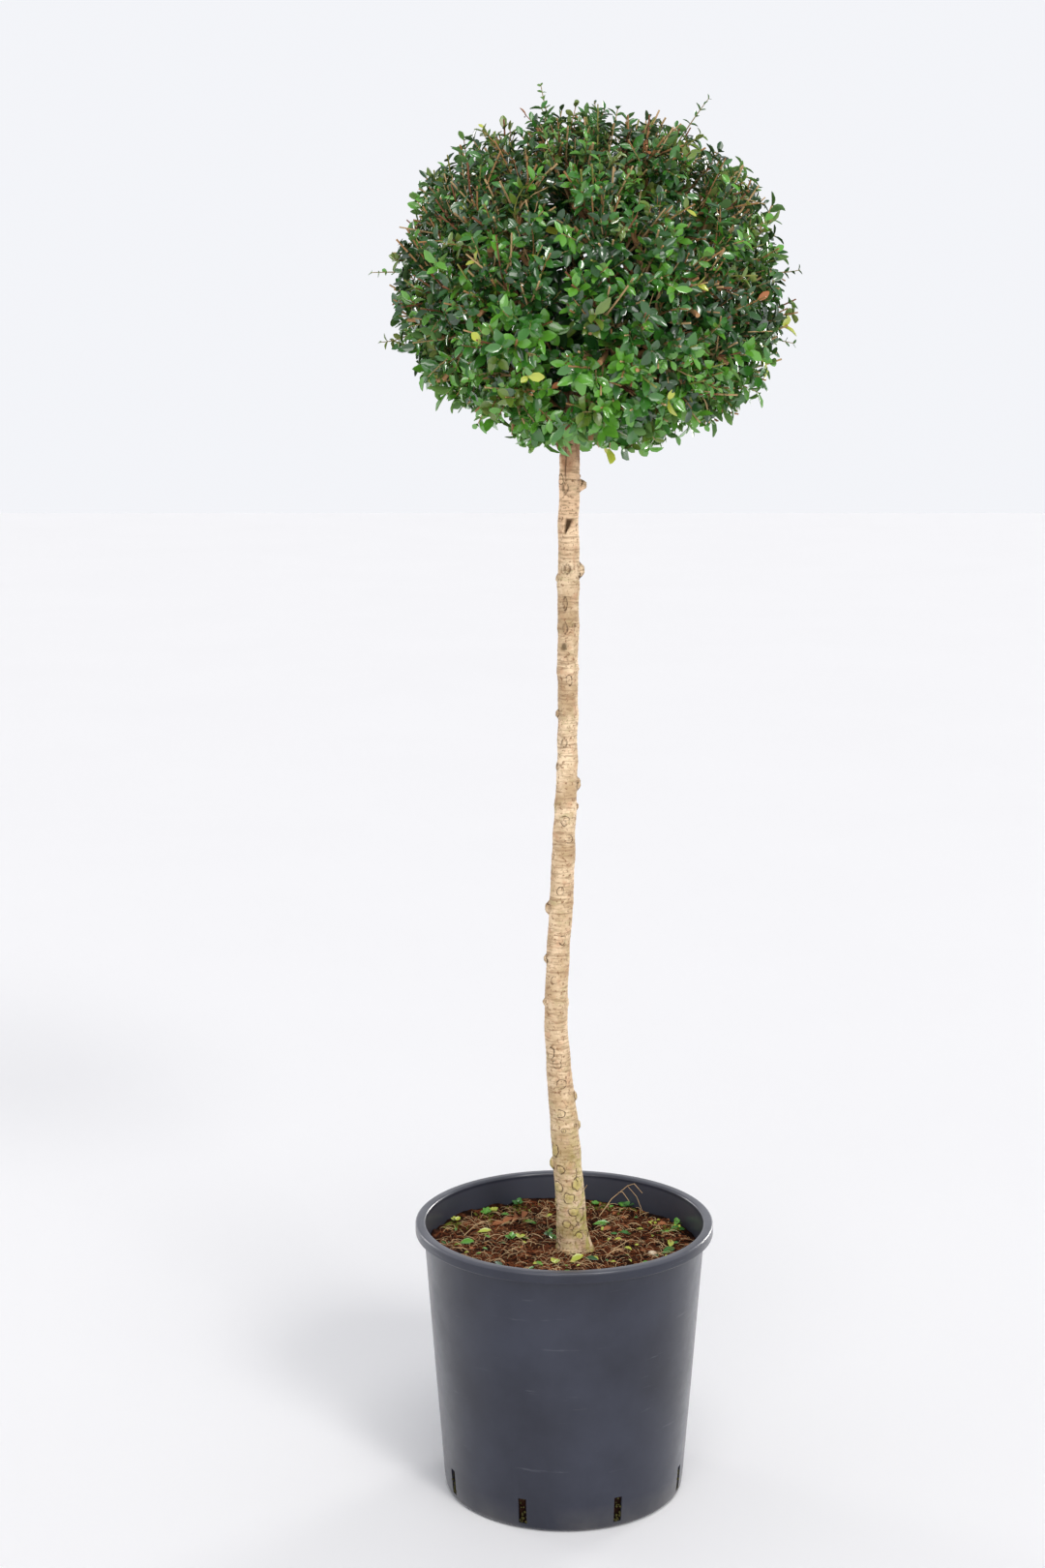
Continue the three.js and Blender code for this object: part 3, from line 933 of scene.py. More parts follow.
@dataclass
class Stem:
    """The bare stem, with its bark's relief, down into the compost and up to the fork."""

    line: StemLine
    rows: int = 500
    columns: int = 78
    buried: float = 9 * MM
    young_from: float = 1.080
    young_full: float = 1.100
    mossy_to: float = 0.15
    flare_sink: tuple[float, float] = (1.7 * MM, 80 * MM)
    toes: tuple[tuple[float, float, float], ...] = (      # side in degrees, reach out and reach up in mm
        (-22, 8.0, 11), (38, 3.5, 12), (105, 5.0, 12), (185, 1.5, 14), (262, 3.0, 8))
    toe_width: float = 0.42

    def __post_init__(self) -> None:
        """Lists the scars that show and seeds those of the hidden sides."""
        self.scars = front_scars() + hidden_scars(self.line.low, self.line.high)

    def relief_of(self, scar: Scar, across: Array, up: Array) -> tuple[Array, Array]:
        """Height and darkness that one scar adds.

        Args:
            scar: The scar.
            across: Distance round the stem from the scar's middle.
            up: Distance along the stem from the scar's middle.

        Returns:
            Relief in metres and darkness from 0 to 1, both shaped like across.
        """
        out = np.hypot(across / scar.width, up / scar.tall)
        if scar.kind is ScarKind.EYE:
            pupil = bump_of(out, 0, 0.26)
            relief = scar.relief * (bump_of(out, 0, 1.25) - 0.45 * bump_of(out, 1.0, 0.16)) - 0.4 * MM * pupil
            return relief, 0.55 * pupil * (math.sin(scar.height * 7000) > -0.2)
        if scar.kind is ScarKind.LENS:
            pointed = np.abs(across) / scar.width + (up / scar.tall) ** 2
            hollow = 1.0 - smooth_step(0.75, 1.0, pointed)
            relief = bump_of(pointed, 1.05, 0.3) - 1.2 * hollow + 1.3 * bump_of(out, 0, 0.42)
            return scar.relief * relief, 0.9 * bump_of(pointed, 0.80, 0.16)
        if scar.kind is ScarKind.STUB:
            rough = 1 + 0.12 * np.sin(across * 2600) * np.sin(up * 2100)
            crease = bump_of(out, 1.3, 0.16)
            relief = scar.relief * (1.0 - smooth_step(0.45, 1.25, out)) * rough - 0.3 * MM * crease
            return relief, 0.3 * crease + 0.5 * bump_of(out, 0.52, 0.12)
        if scar.kind is ScarKind.HOLE:
            mouth = np.abs(across - 0.35 * up) / (scar.width * (0.62 + 0.4 * np.clip(up / scar.tall, -1, 1)))
            inside = 1 - smooth_step(0.85, 1.05, np.abs(up) / scar.tall)
            inside *= 1 - smooth_step(0.7, 1.05, mouth)
            return 1.3 * MM * bump_of(out, 1.35, 0.4) - scar.relief * inside, np.clip(1.2 * inside, 0, 1)
        if scar.kind is ScarKind.CRACK:
            wander = 0.6 * MM * np.sin(up * 240 + 1.0)
            line = bump_of(across, wander, scar.width * 0.5)
            line *= 1.0 - smooth_step(0.7, 1.1, np.abs(up) / scar.tall)
            return -scar.relief * line, line
        return np.zeros_like(out), 0.8 * (1.0 - smooth_step(0.5, 1.1, out))

    def flare(self, turn: Array, above: Array) -> Array:
        """Relief of the root flare: a few toes that run out into the compost.

        Args:
            turn: Angle round the stem.
            above: Height above the compost.

        Returns:
            Relief in metres, shaped like turn.
        """
        depth, reach = self.flare_sink
        relief = -depth * np.exp(-above / reach)
        for side, out, rise in self.toes:
            swing = np.angle(np.exp(1j * (turn - math.radians(side))))
            relief = relief + out * MM * np.exp(-(swing / self.toe_width) ** 2 - above / (rise * MM))
        return relief

    @staticmethod
    def swells(height: Array, turn: Array) -> Array:
        """Relief of the slow waists and swellings between the joints.

        Args:
            height: Height up the stem.
            turn: Angle round it.

        Returns:
            Relief in metres, shaped like height.
        """
        slow = np.sin(2 * turn + height * 21) + 0.7 * np.sin(3 * turn - height * 37)
        joints = np.sin(height * 131 + 1.3 * np.sin(turn) + 2.0 * np.sin(height * 17))
        joints *= np.sin(height * 29 + turn)
        wrinkles = np.sin(height * 1150 + 2.2 * np.sin(2 * turn + height * 60))
        return (0.42 * slow + 0.50 * joints + 0.12 * wrinkles) * MM

    def surface(self) -> tuple[Array, dict[str, Array]]:
        """Shapes the stem and its marks.

        Returns:
            Its rings of vertices, and the attributes that its bark reads.
        """
        heights = np.linspace(self.line.low - self.buried, self.line.high, self.rows)
        height, turn = np.meshgrid(heights, turns_round(self.columns), indexing="ij")
        girth = self.line.radius(height)
        above = np.maximum(height - self.line.low, 0.0)
        relief = self.flare(turn, above) + self.swells(height, turn)
        wound, rings = np.zeros_like(height), np.full_like(height, 3.0)
        for scar in self.scars:
            side = np.angle(np.exp(1j * (turn - math.radians(scar.side))))
            near = np.abs(heights - scar.height) < max(3.2 * scar.tall, 0.02)
            across, up = side[near] * girth[near], height[near] - scar.height
            bump, dark = self.relief_of(scar, across, up)
            relief[near] += bump + 0.45 * MM * np.exp(-(across / 0.009) ** 2 - (up / 0.008) ** 2)
            wound[near] = np.maximum(wound[near], dark)
            if scar.kind in (ScarKind.EYE, ScarKind.STUB):
                rings[near] = np.minimum(rings[near], np.hypot(across / scar.width, up / scar.tall))
        young = smooth_step(self.young_from, self.young_full, height + 0.006 * np.sin(3 * turn + 1))
        folds = young * 0.5 * MM * np.sin(9 * turn + 40 * height + 2 * np.sin(90 * height))
        points = ring_points(girth + relief + folds, turn, height)
        points[..., :2] += self.line.middle(height)
        mossy = np.clip(1.2 - above / self.mossy_to, 0, 1) * (0.65 + 0.35 * np.sin(turn * 2 + 2.4))
        return points, {"wound": wound, "ring": rings, "young": 0.9 * young, "mossy": np.clip(mossy, 0, 0.9)}

    def build(self) -> None:
        """Makes and dresses the stem."""
        rings, masks = self.surface()
        foot = (*self.line.middle(self.line.low), self.line.low - self.buried)
        top = (*self.line.middle(self.line.high), self.line.high + 2 * MM)
        stem = closed_tube("stem", rings, foot, top)
        for name, mask in masks.items():
            write_attribute(stem, name, "FLOAT", np.append(mask, [0.0, 0.0]))
        stem.data.materials.append(StemBark().make())
        finish_piece(stem, "bark", ["trunk"])


# --- leaves and twigs


@dataclass(frozen=True)
class LeafForm:
    """Shape of one leaf of length 1: half width, fold of its halves, droop of its tip, and twist."""

    name: str
    half_width: float
    fold: float
    droop: float
    twist: float
    stations: tuple[float, ...] = (0.06, 0.30, 0.62, 0.89)
    rib: float = 0.035

    def section(self, along: float) -> list[tuple[float, float, float]]:
        """One cross section of the leaf.

        Args:
            along: Distance from the leaf's base.

        Returns:
            Its left rim, mid rib, right rim and lower rib.
        """
        wide = max(self.half_width * math.sin(math.pi * along ** 1.05) ** 0.78, 0.024)
        turn = self.twist * (along - 0.3)
        points = []
        for across in (-wide, 0.0, wide):
            lift = abs(across) * self.fold - self.droop * along * along
            y = across * math.cos(turn) - lift * math.sin(turn) * 0.3
            points.append((along, y, lift + across * math.sin(turn)))
        middle = points[1]
        return points + [(along, middle[1], middle[2] - self.rib)]

    def build(self) -> Thing:
        """Makes a thin closed leaf along +X with its upper side to +Z; its lower faces are marked.

        Returns:
            The leaf.
        """
        vertices = [point for along in self.stations for point in self.section(along)]
        tip_at, base_at = len(vertices), len(vertices) + 1
        vertices += [(1.0, 0.0, -self.droop), (-0.06, 0.0, -0.01)]
        top: list = [(base_at, 1, 0), (base_at, 2, 1)]
        under: list = [(base_at, 0, 3), (base_at, 3, 2)]
        for left in range(0, tip_at - 4, 4):
            rib, right, lower = left + 1, left + 2, left + 3
            top += [(left, rib, rib + 4, left + 4), (rib, right, right + 4, rib + 4)]
            under += [(left, left + 4, lower + 4, lower), (lower, lower + 4, right + 4, right)]
        left = tip_at - 4
        top += [(left, left + 1, tip_at), (left + 1, left + 2, tip_at)]
        under += [(left, tip_at, left + 3), (left + 3, tip_at, left + 2)]
        leaf = mesh_object(self.name, np.array(vertices), top + under)
        self.mark(leaf.data, len(top))
        return leaf

    @staticmethod
    def mark(mesh: Any, top_count: int) -> None:
        """Marks the lower faces and keeps the rim of the leaf crisp.

        Args:
            mesh: The leaf's mesh.
            top_count: Number of its upper faces, which come first.
        """
        under = mesh.attributes.new("underside", "BOOLEAN", "FACE")
        under.data.foreach_set("value", [i >= top_count for i in range(len(mesh.polygons))])
        sides: dict[tuple[int, int], set[bool]] = {}
        for face in mesh.polygons:
            for key in face.edge_keys:
                sides.setdefault(key, set()).add(face.index >= top_count)
        sharp = mesh.attributes.new("sharp_edge", "BOOLEAN", "EDGE")
        sharp.data.foreach_set("value", [len(sides[e.key]) == 2 for e in mesh.edges])


LEAF_FORMS = (
    LeafForm("leaf_form_0_broad", 0.295, 0.34, 0.10, 0.1),
    LeafForm("leaf_form_1_folded", 0.255, 0.62, 0.20, -0.25),
    LeafForm("leaf_form_2_flat", 0.265, 0.24, 0.05, 0.15),
    LeafForm("leaf_form_3_arched", 0.255, 0.42, 0.32, 0.0),
    LeafForm("leaf_form_4_slim", 0.210, 0.48, 0.14, 0.35),
)


@dataclass
class Leaves:
    """Places, turns, sizes and forms of a batch of leaves, one row each."""

    place: Array
    turn: Array
    size: Array
    form: Array

    def rows(self, some: Any) -> "Leaves":
        """The leaves of some rows."""
        return Leaves(self.place[some], self.turn[some], self.size[some], self.form[some])

    @classmethod
    def join(cls, batches: Sequence["Leaves"]) -> "Leaves":
        """One batch from several."""
        return cls(*(np.concatenate([getattr(b, key.name) for b in batches]) for key in fields(cls)))


class LeafMaker:
    """Turns lists of leaf places into joined leaf meshes with Geometry Nodes."""

    MOST_LEAVES = 4400        # leaves in one piece, to keep it under 200,000 triangles

    def __init__(self) -> None:
        """Builds the leaf forms, their finishes and the tree that sets them out."""
        self.forms = bpy.data.collections.new("leaf_forms")
        bpy.context.scene.collection.children.link(self.forms)
        for form in LEAF_FORMS:
            leaf = form.build()
            bpy.context.scene.collection.objects.unlink(leaf)
            self.forms.objects.link(leaf)
        self.finishes = {tone: tone.finishes() for tone in LeafTone}
        recipe = Recipe(
            "set_out_leaves", Leaf_Forms="Collection", Upper_Finish="Material", Under_Finish="Material")
        forms, upper, under = recipe.asked
        shapes = recipe.get(
            "CollectionInfo", {"Collection": forms, "Separate Children": True, "Reset Children": True})
        turn = recipe.get("FunctionNodeEulerToRotation", {"Euler": recipe.read("turn", "FLOAT_VECTOR")})
        leaves = recipe.set_out(
            recipe.geometry, shapes, Pick_Instance=True, Instance_Index=recipe.read("form", "INT"),
            Rotation=turn, Scale=recipe.read("size", "FLOAT_VECTOR"))
        recipe.finish(leaves, upper, (recipe.read("underside", "BOOLEAN"), under))
        self.recipe = recipe

    def make(self, name: str, tone: LeafTone, leaves: Leaves, nodes: Sequence[str] = ()) -> None:
        """Makes joined leaf pieces of one tone, split where there are too many for one piece.

        Args:
            name: Name of the pieces, before their tone's.
            tone: Tone of the leaves.
            leaves: The leaves.
            nodes: Frame nodes that the first piece stands for.
        """
        parts = max(1, math.ceil(len(leaves.place) / self.MOST_LEAVES))
        upper, under = self.finishes[tone]
        for part, rows in enumerate(np.array_split(np.arange(len(leaves.place)), parts)):
            label = f"{name}_{tone.value[0]}" + (f"_{part + 1}" if parts > 1 else "")
            some = leaves.rows(rows)
            thing = mesh_object(label, some.place, [])
            write_attribute(thing, "turn", "FLOAT_VECTOR", some.turn)
            write_attribute(thing, "size", "FLOAT_VECTOR", some.size)
            write_attribute(thing, "form", "INT", some.form)
            self.recipe.run(thing, Leaf_Forms=self.forms, Upper_Finish=upper, Under_Finish=under)
            finish_piece(thing, "foliage", nodes if part == 0 else ())

    def clear_away(self) -> None:
        """Removes the leaf forms once every leaf is made."""
        for leaf in list(self.forms.objects):
            bpy.data.meshes.remove(leaf.data)
        bpy.data.collections.remove(self.forms)


@dataclass
class Limb:
    """A tapering limb: centre line, radii, forks from the stem, bare length at its tip; runner or not."""

    path: Array
    radii: Array
    order: int = 0
    bare: float = 0.0
    runner: bool = False


class TwigMaker:
    """Turns runs of points with a thickness into joined, capped twigs with Geometry Nodes."""

    def __init__(self) -> None:
        """Builds the tree once."""
        recipe = Recipe("skin_twigs", Sides="Int", Finish="Material")
        sides, finish = recipe.asked
        radius = recipe.read("thickness", "FLOAT")
        curve = recipe.get("MeshToCurve", {"Mesh": recipe.geometry})
        sized = recipe.get("SetCurveRadius", {"Curve": curve, "Radius": radius})
        ring = recipe.get("CurvePrimitiveCircle", {"Resolution": sides, "Radius": 1.0})
        skin = recipe.add("CurveToMesh", {"Curve": sized, "Profile Curve": ring, "Fill Caps": True})
        if "Scale" in skin.inputs:
            recipe.tree.links.new(radius, skin.inputs["Scale"])
        recipe.finish(recipe.get("SetShadeSmooth", {"Geometry": skin.outputs["Mesh"]}), finish)
        self.recipe = recipe

    def make(
            self, name: str, limbs: Sequence[Limb], finish: Material, sides: int,
            slot: str = "twig", nodes: Sequence[str] = ()) -> None:
        """Makes one joined piece from many limbs.

        Args:
            name: Piece name.
            limbs: The limbs to skin.
            finish: Material of the piece.
            sides: Sides of each limb's section.
            slot: Material slot of the record.
            nodes: Frame nodes that it stands for.
        """
        edges, start = [], 0
        for limb in limbs:
            edges += [(start + i, start + i + 1) for i in range(len(limb.path) - 1)]
            start += len(limb.path)
        thing = mesh_object(name, np.concatenate([limb.path for limb in limbs]), [], edges)
        write_attribute(thing, "thickness", "FLOAT", np.concatenate([limb.radii for limb in limbs]))
        self.recipe.run(thing, Sides=sides, Finish=finish)
        finish_piece(thing, slot, nodes)


# --- crown


class CrownShape:
    """The clipped outline of the ball, read from the frame's crown."""

    MOUTH = math.radians(27)     # half angle of the hollow under the fork, seen from the centre
    USUAL_REACH = 0.17           # taken where a direction meets no outline

    def __init__(self) -> None:
        """Wraps the crown's mesh for measuring."""
        mesh = frame["nodes"]["crown"].data
        self.tree = BVHTree.FromPolygons([v.co for v in mesh.vertices], [p.vertices for p in mesh.polygons])
        low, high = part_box("crown")
        self.centre = np.array((low + high) / 2)
        rim = np.array([math.sin(self.MOUTH), 0.0, -math.cos(self.MOUTH)])
        self.floor = self.reach(rim) * math.cos(self.MOUTH)

    def reach(self, towards: Array) -> float:
        """Distance from the centre to the clipped outline; across the hollow it keeps level with its rim.

        Args:
            towards: Unit direction.

        Returns:
            The distance.
        """
        if -towards[2] > math.cos(self.MOUTH):
            return self.floor / -towards[2]
        hit = self.tree.ray_cast(Vector(self.centre), Vector(towards))
        return hit[3] if hit[0] is not None else self.USUAL_REACH

    def depth(self, points: Array) -> Array:
        """How far each point is towards the outline: 0 at the centre and 1 on it.

        Args:
            points: The points, one per row.

        Returns:
            One depth for each.
        """
        offsets = points - self.centre
        far = np.linalg.norm(offsets, axis=1)
        return np.array([f / self.reach(d) for f, d in zip(far, unit(offsets))])


@dataclass(frozen=True)
class ForkRule:
    """How a limb forks: into how many groups, after how much of the way to them, and with what wander."""

    groups: int
    share: float
    wander: float


@dataclass
class Growth:
    """Seeded branching from the boughs to twig tips set out under the clipped outline."""

    shape: CrownShape
    stem: StemLine
    seed: int = 20
    tips: int = 1900
    inner_tips: int = 300             # twigs deep inside, which close the view through the middle
    runners: int = 230
    rules: tuple[ForkRule, ...] = (
        ForkRule(5, 0.34, 0.06), ForkRule(4, 0.38, 0.09), ForkRule(4, 0.42, 0.12), ForkRule(3, 0.42, 0.16))
    surface: tuple[float, float, float] = (0.72, 0.91, 1.01)     # share of the tips, and between which depths
    deep: tuple[float, float, float] = (0.06, 0.55, 0.78)
    proud: tuple[float, float, float] = (0.09, 1.02, 1.075)
    other: tuple[float, float] = (0.74, 0.93)
    hollows: int = 46
    hollow_angle: float = 5.5         # half width of a hollow between the clumps, in degrees
    twig_radius: float = 0.90 * MM
    thickening: float = 0.31
    stub_chance: float = 0.48
    clipped_chance: float = 0.38
    margin: float = 7.0 * MM          # leaves reach this far past a twig's tip
    clear_of_stem: float = 26 * MM
    bough_radii: tuple[float, float] = (5.3 * MM, 3.4 * MM)
    branch_radius: float = 3.3 * MM
    limbs: list[Limb] = field(default_factory=list)
    twigs: list[Limb] = field(default_factory=list)
    stubs: list[Limb] = field(default_factory=list)

    def __post_init__(self) -> None:
        """Starts the random draws."""
        self.random = np.random.default_rng(self.seed)

    def tip_depth(self) -> float:
        """Deals out how deep a twig's tip lies.

        Returns:
            The depth, 1 on the outline.
        """
        draw = self.random.random()
        share, *span = self.surface
        depth = self.random.uniform(*(span if draw < share else self.other))
        if draw >= 1.0 - self.deep[0]:
            depth = self.random.uniform(*self.deep[1:])
        if draw <= self.proud[0]:
            depth = self.random.uniform(*self.proud[1:])
        return depth

    def twig_tips(self) -> Array:
        """Spreads tips under the outline: most at the surface, some deeper, with hollows between the clumps.

        Returns:
            One tip per row.
        """
        directions = fibonacci_sphere(self.tips)
        directions = unit(directions + self.random.normal(0, 0.028, directions.shape))
        hollows = unit(self.random.normal(0, 1, (self.hollows, 3)))
        points = []
        for towards in directions:
            reach = self.shape.reach(towards) - self.margin
            depth = self.tip_depth()
            nearest = math.degrees(math.acos(min(1.0, float((hollows @ towards).max()))))
            if nearest < self.hollow_angle:
                depth *= self.random.uniform(0.80, 0.90)
            point = self.shape.centre + towards * reach * depth
            aside = np.linalg.norm(point[:2] - self.stem.middle(point[2]))
            if towards[2] < -0.7 and aside < self.clear_of_stem:
                continue
            points.append(point)
        for _ in range(self.inner_tips):
            towards = unit(self.random.normal(0, 1, 3))
            inner = towards * self.shape.reach(towards) * self.random.uniform(0.34, 0.66)
            points.append(self.shape.centre + inner)
        return np.array(points)

    def grow_runners(self) -> None:
        """Grows long straight shoots out past the leaves, away from the fork."""
        starts = [limb for limb in self.limbs if limb.order >= 2]
        depths = self.shape.depth(np.array([limb.path[-1] for limb in starts]))
        ready = [limb for limb, depth in zip(starts, depths) if 0.55 < depth < 0.88]
        fork = np.append(self.stem.middle(self.stem.high), self.stem.high - 0.02)
        left = self.runners
        for _ in range(self.runners * 4):
            base = ready[int(self.random.integers(len(ready)))].path[-1]
            heading = unit(unit(base - fork) + self.random.normal(0, 0.36, 3))
            tip = base + heading * self.random.uniform(36, 72) * MM
            depth = float(self.shape.depth(tip[None])[0])
            if not 0.96 < depth < 1.04 or left <= 0:
                continue
            middle = (base + tip) / 2 + self.random.normal(0, 2.2 * MM, 3)
            thick = self.random.uniform(0.95, 1.35) * MM
            bare = self.random.uniform(2, 14) * MM
            radii = np.linspace(thick, thick * 0.72, 5)
            self.twigs.append(Limb(bezier(base, middle, tip, 5), radii, bare=bare, runner=True))
            left -= 1

    def share_out(self, points: Array, count: int) -> list[Array]:
        """Splits points into close groups by a few rounds of nearest centres.

        Args:
            points: Twig tips, one per row.
            count: How many groups to aim for.

        Returns:
            A list of arrays of tips, none of them empty.
        """
        count = min(count, len(points))
        centres = [points[self.random.integers(len(points))]]
        for _ in range(count - 1):
            gaps = np.min([np.linalg.norm(points - c, axis=1) for c in centres], axis=0)
            centres.append(points[int(np.argmax(gaps * self.random.uniform(0.75, 1.0, len(points))))])
        middles = np.array(centres)
        for _ in range(4):
            owner = np.argmin(np.linalg.norm(points[:, None] - middles[None], axis=2), axis=1)
            middles = np.array([
                points[owner == i].mean(0) if (owner == i).any() else middles[i] for i in range(count)])
        return [points[owner == i] for i in range(count) if (owner == i).any()]

    def girth(self, carried: int) -> float:
        """Radius of a limb that carries so many twigs."""
        return self.twig_radius * carried ** self.thickening

    def grow(self, base: Array, heading: Array, tips: Array, order: int, radius: float) -> None:
        """Grows one limb towards the middle of its tips, then forks it.

        Args:
            base: Where the limb starts.
            heading: Unit direction in which it starts.
            tips: Twig tips that it carries.
            order: Forks from the stem.
            radius: Radius at its base.
        """
        if order >= len(self.rules) or len(tips) <= 2:
            for tip in tips:
                self.grow_twig(base, heading, tip, radius)
            return
        rule = self.rules[order]
        towards = tips.mean(0) - base
        length = float(np.linalg.norm(towards))
        joint = base + towards * rule.share + self.random.normal(0, rule.wander * length * 0.5, 3)
        end_radius = min(radius, self.girth(len(tips)))
        path = bezier(base, base + heading * length * rule.share * 0.5, joint, 7)
        path[1:-1] += self.random.normal(0, 0.012 * length, (5, 3))
        self.limbs.append(Limb(path, np.linspace(radius, end_radius, 7), order))
        for number, group in enumerate(self.share_out(tips, rule.groups)):
            at = -1 if number % 2 == 0 else int(self.random.integers(3, 6))
            leaving = unit(unit(path[at] - path[at - 1]) + 0.5 * unit(group.mean(0) - path[at]))
            self.grow(path[at], leaving, group, order + 1, min(end_radius, self.girth(len(group)) * 1.08))
        if order >= 2 and self.random.random() < self.stub_chance:
            self.grow_stub(path[-1], unit(path[-1] - path[-2]), end_radius)

    def grow_twig(self, base: Array, heading: Array, tip: Array, radius: float) -> None:
        """Grows one leafy twig.

        Args:
            base: Where it leaves its limb.
            heading: Unit direction in which it leaves.
            tip: Where it ends.
            radius: Radius of its limb.
        """
        length = float(np.linalg.norm(tip - base))
        side = self.random.normal(0, 0.06 * length, 3)
        path = bezier(base, base + heading * length * 0.34 + side, tip, 5)
        clipped = self.random.random() < self.clipped_chance
        start = min(radius, self.twig_radius * self.random.uniform(1.15, 1.75))
        end = start * 0.85 if clipped else self.twig_radius / 2
        bare = self.random.uniform(3, 9) * MM if clipped else 0.0
        self.twigs.append(Limb(path, np.linspace(start, end, 5), len(self.rules), bare))

    def grow_stub(self, base: Array, heading: Array, radius: float) -> None:
        """Leaves a short cut-off end where an older shoot was clipped.

        Args:
            base: Where it leaves its limb.
            heading: Unit direction of the limb.
            radius: Radius of the limb.
        """
        outward = unit(base - self.shape.centre)
        aim = unit(heading + 0.8 * outward + self.random.normal(0, 0.35, 3))
        length = self.random.uniform(14, 38) * MM
        thick = max(radius, 1.1 * MM) * self.random.uniform(1.0, 1.9)
        path = base + aim * length * np.array([[0.0], [0.5], [1.0]])
        self.stubs.append(Limb(path, thick * np.array([1.0, 0.96, 0.92])))

    def bough_ends(self) -> list[tuple[Array, Array]]:
        """Finds the ends of the frame's boughs.

        Returns:
            Root and tip of each.
        """
        ends = []
        for name in sorted(nodes_named("bough_")):
            points = node_points(name)
            away = np.linalg.norm(points[:, :2] - self.stem.middle(points[:, 2].mean()), axis=1)
            root = points[away < np.quantile(away, 0.2)].mean(0)
            ends.append((root, points[away > np.quantile(away, 0.8)].mean(0)))
        return ends

    def run(self) -> list[Limb]:
        """Grows the whole crown.

        Returns:
            The boughs, from inside the stem to their first fork; other limbs are kept on the growth itself.
        """
        tips = self.twig_tips()
        ends = self.bough_ends()
        fork = np.mean([tip for _, tip in ends], axis=0)
        headings = np.array([unit(tip - root) for root, tip in ends])
        headings[-1] = unit(headings[-1] + 1.4 * UP)
        owner = self.balanced_owner(unit(tips - fork), headings)
        boughs = []
        for number, (root, tip) in enumerate(ends):
            mine = tips[owner == number]
            heading = unit(tip - root)
            inner = root - heading * 9 * MM
            joint = tip + (mine.mean(0) - tip) * 0.20
            path = np.concatenate([
                bezier(inner, (inner + tip) / 2, tip, 4)[:-1],
                bezier(tip, tip + heading * 18 * MM, joint, 5)])
            boughs.append(Limb(path, np.linspace(*self.bough_radii, len(path))))
            self.grow(joint, unit(path[-1] - path[-2]), mine, 0, self.branch_radius)
        self.grow_runners()
        return boughs

    @staticmethod
    def balanced_owner(directions: Array, headings: Array) -> Array:
        """Shares directions out among headings, near ones first, with about as many for each.

        Args:
            directions: Unit vectors to share out.
            headings: Unit vectors that take them.

        Returns:
            The index of a heading for each direction.
        """
        bias = np.zeros(len(headings))
        owner = np.zeros(len(directions), int)
        for _ in range(60):
            owner = np.argmax(directions @ headings.T - bias, axis=1)
            counts = np.bincount(owner, minlength=len(headings))
            bias += 0.25 * (counts / len(directions) - 1 / len(headings))
        return owner


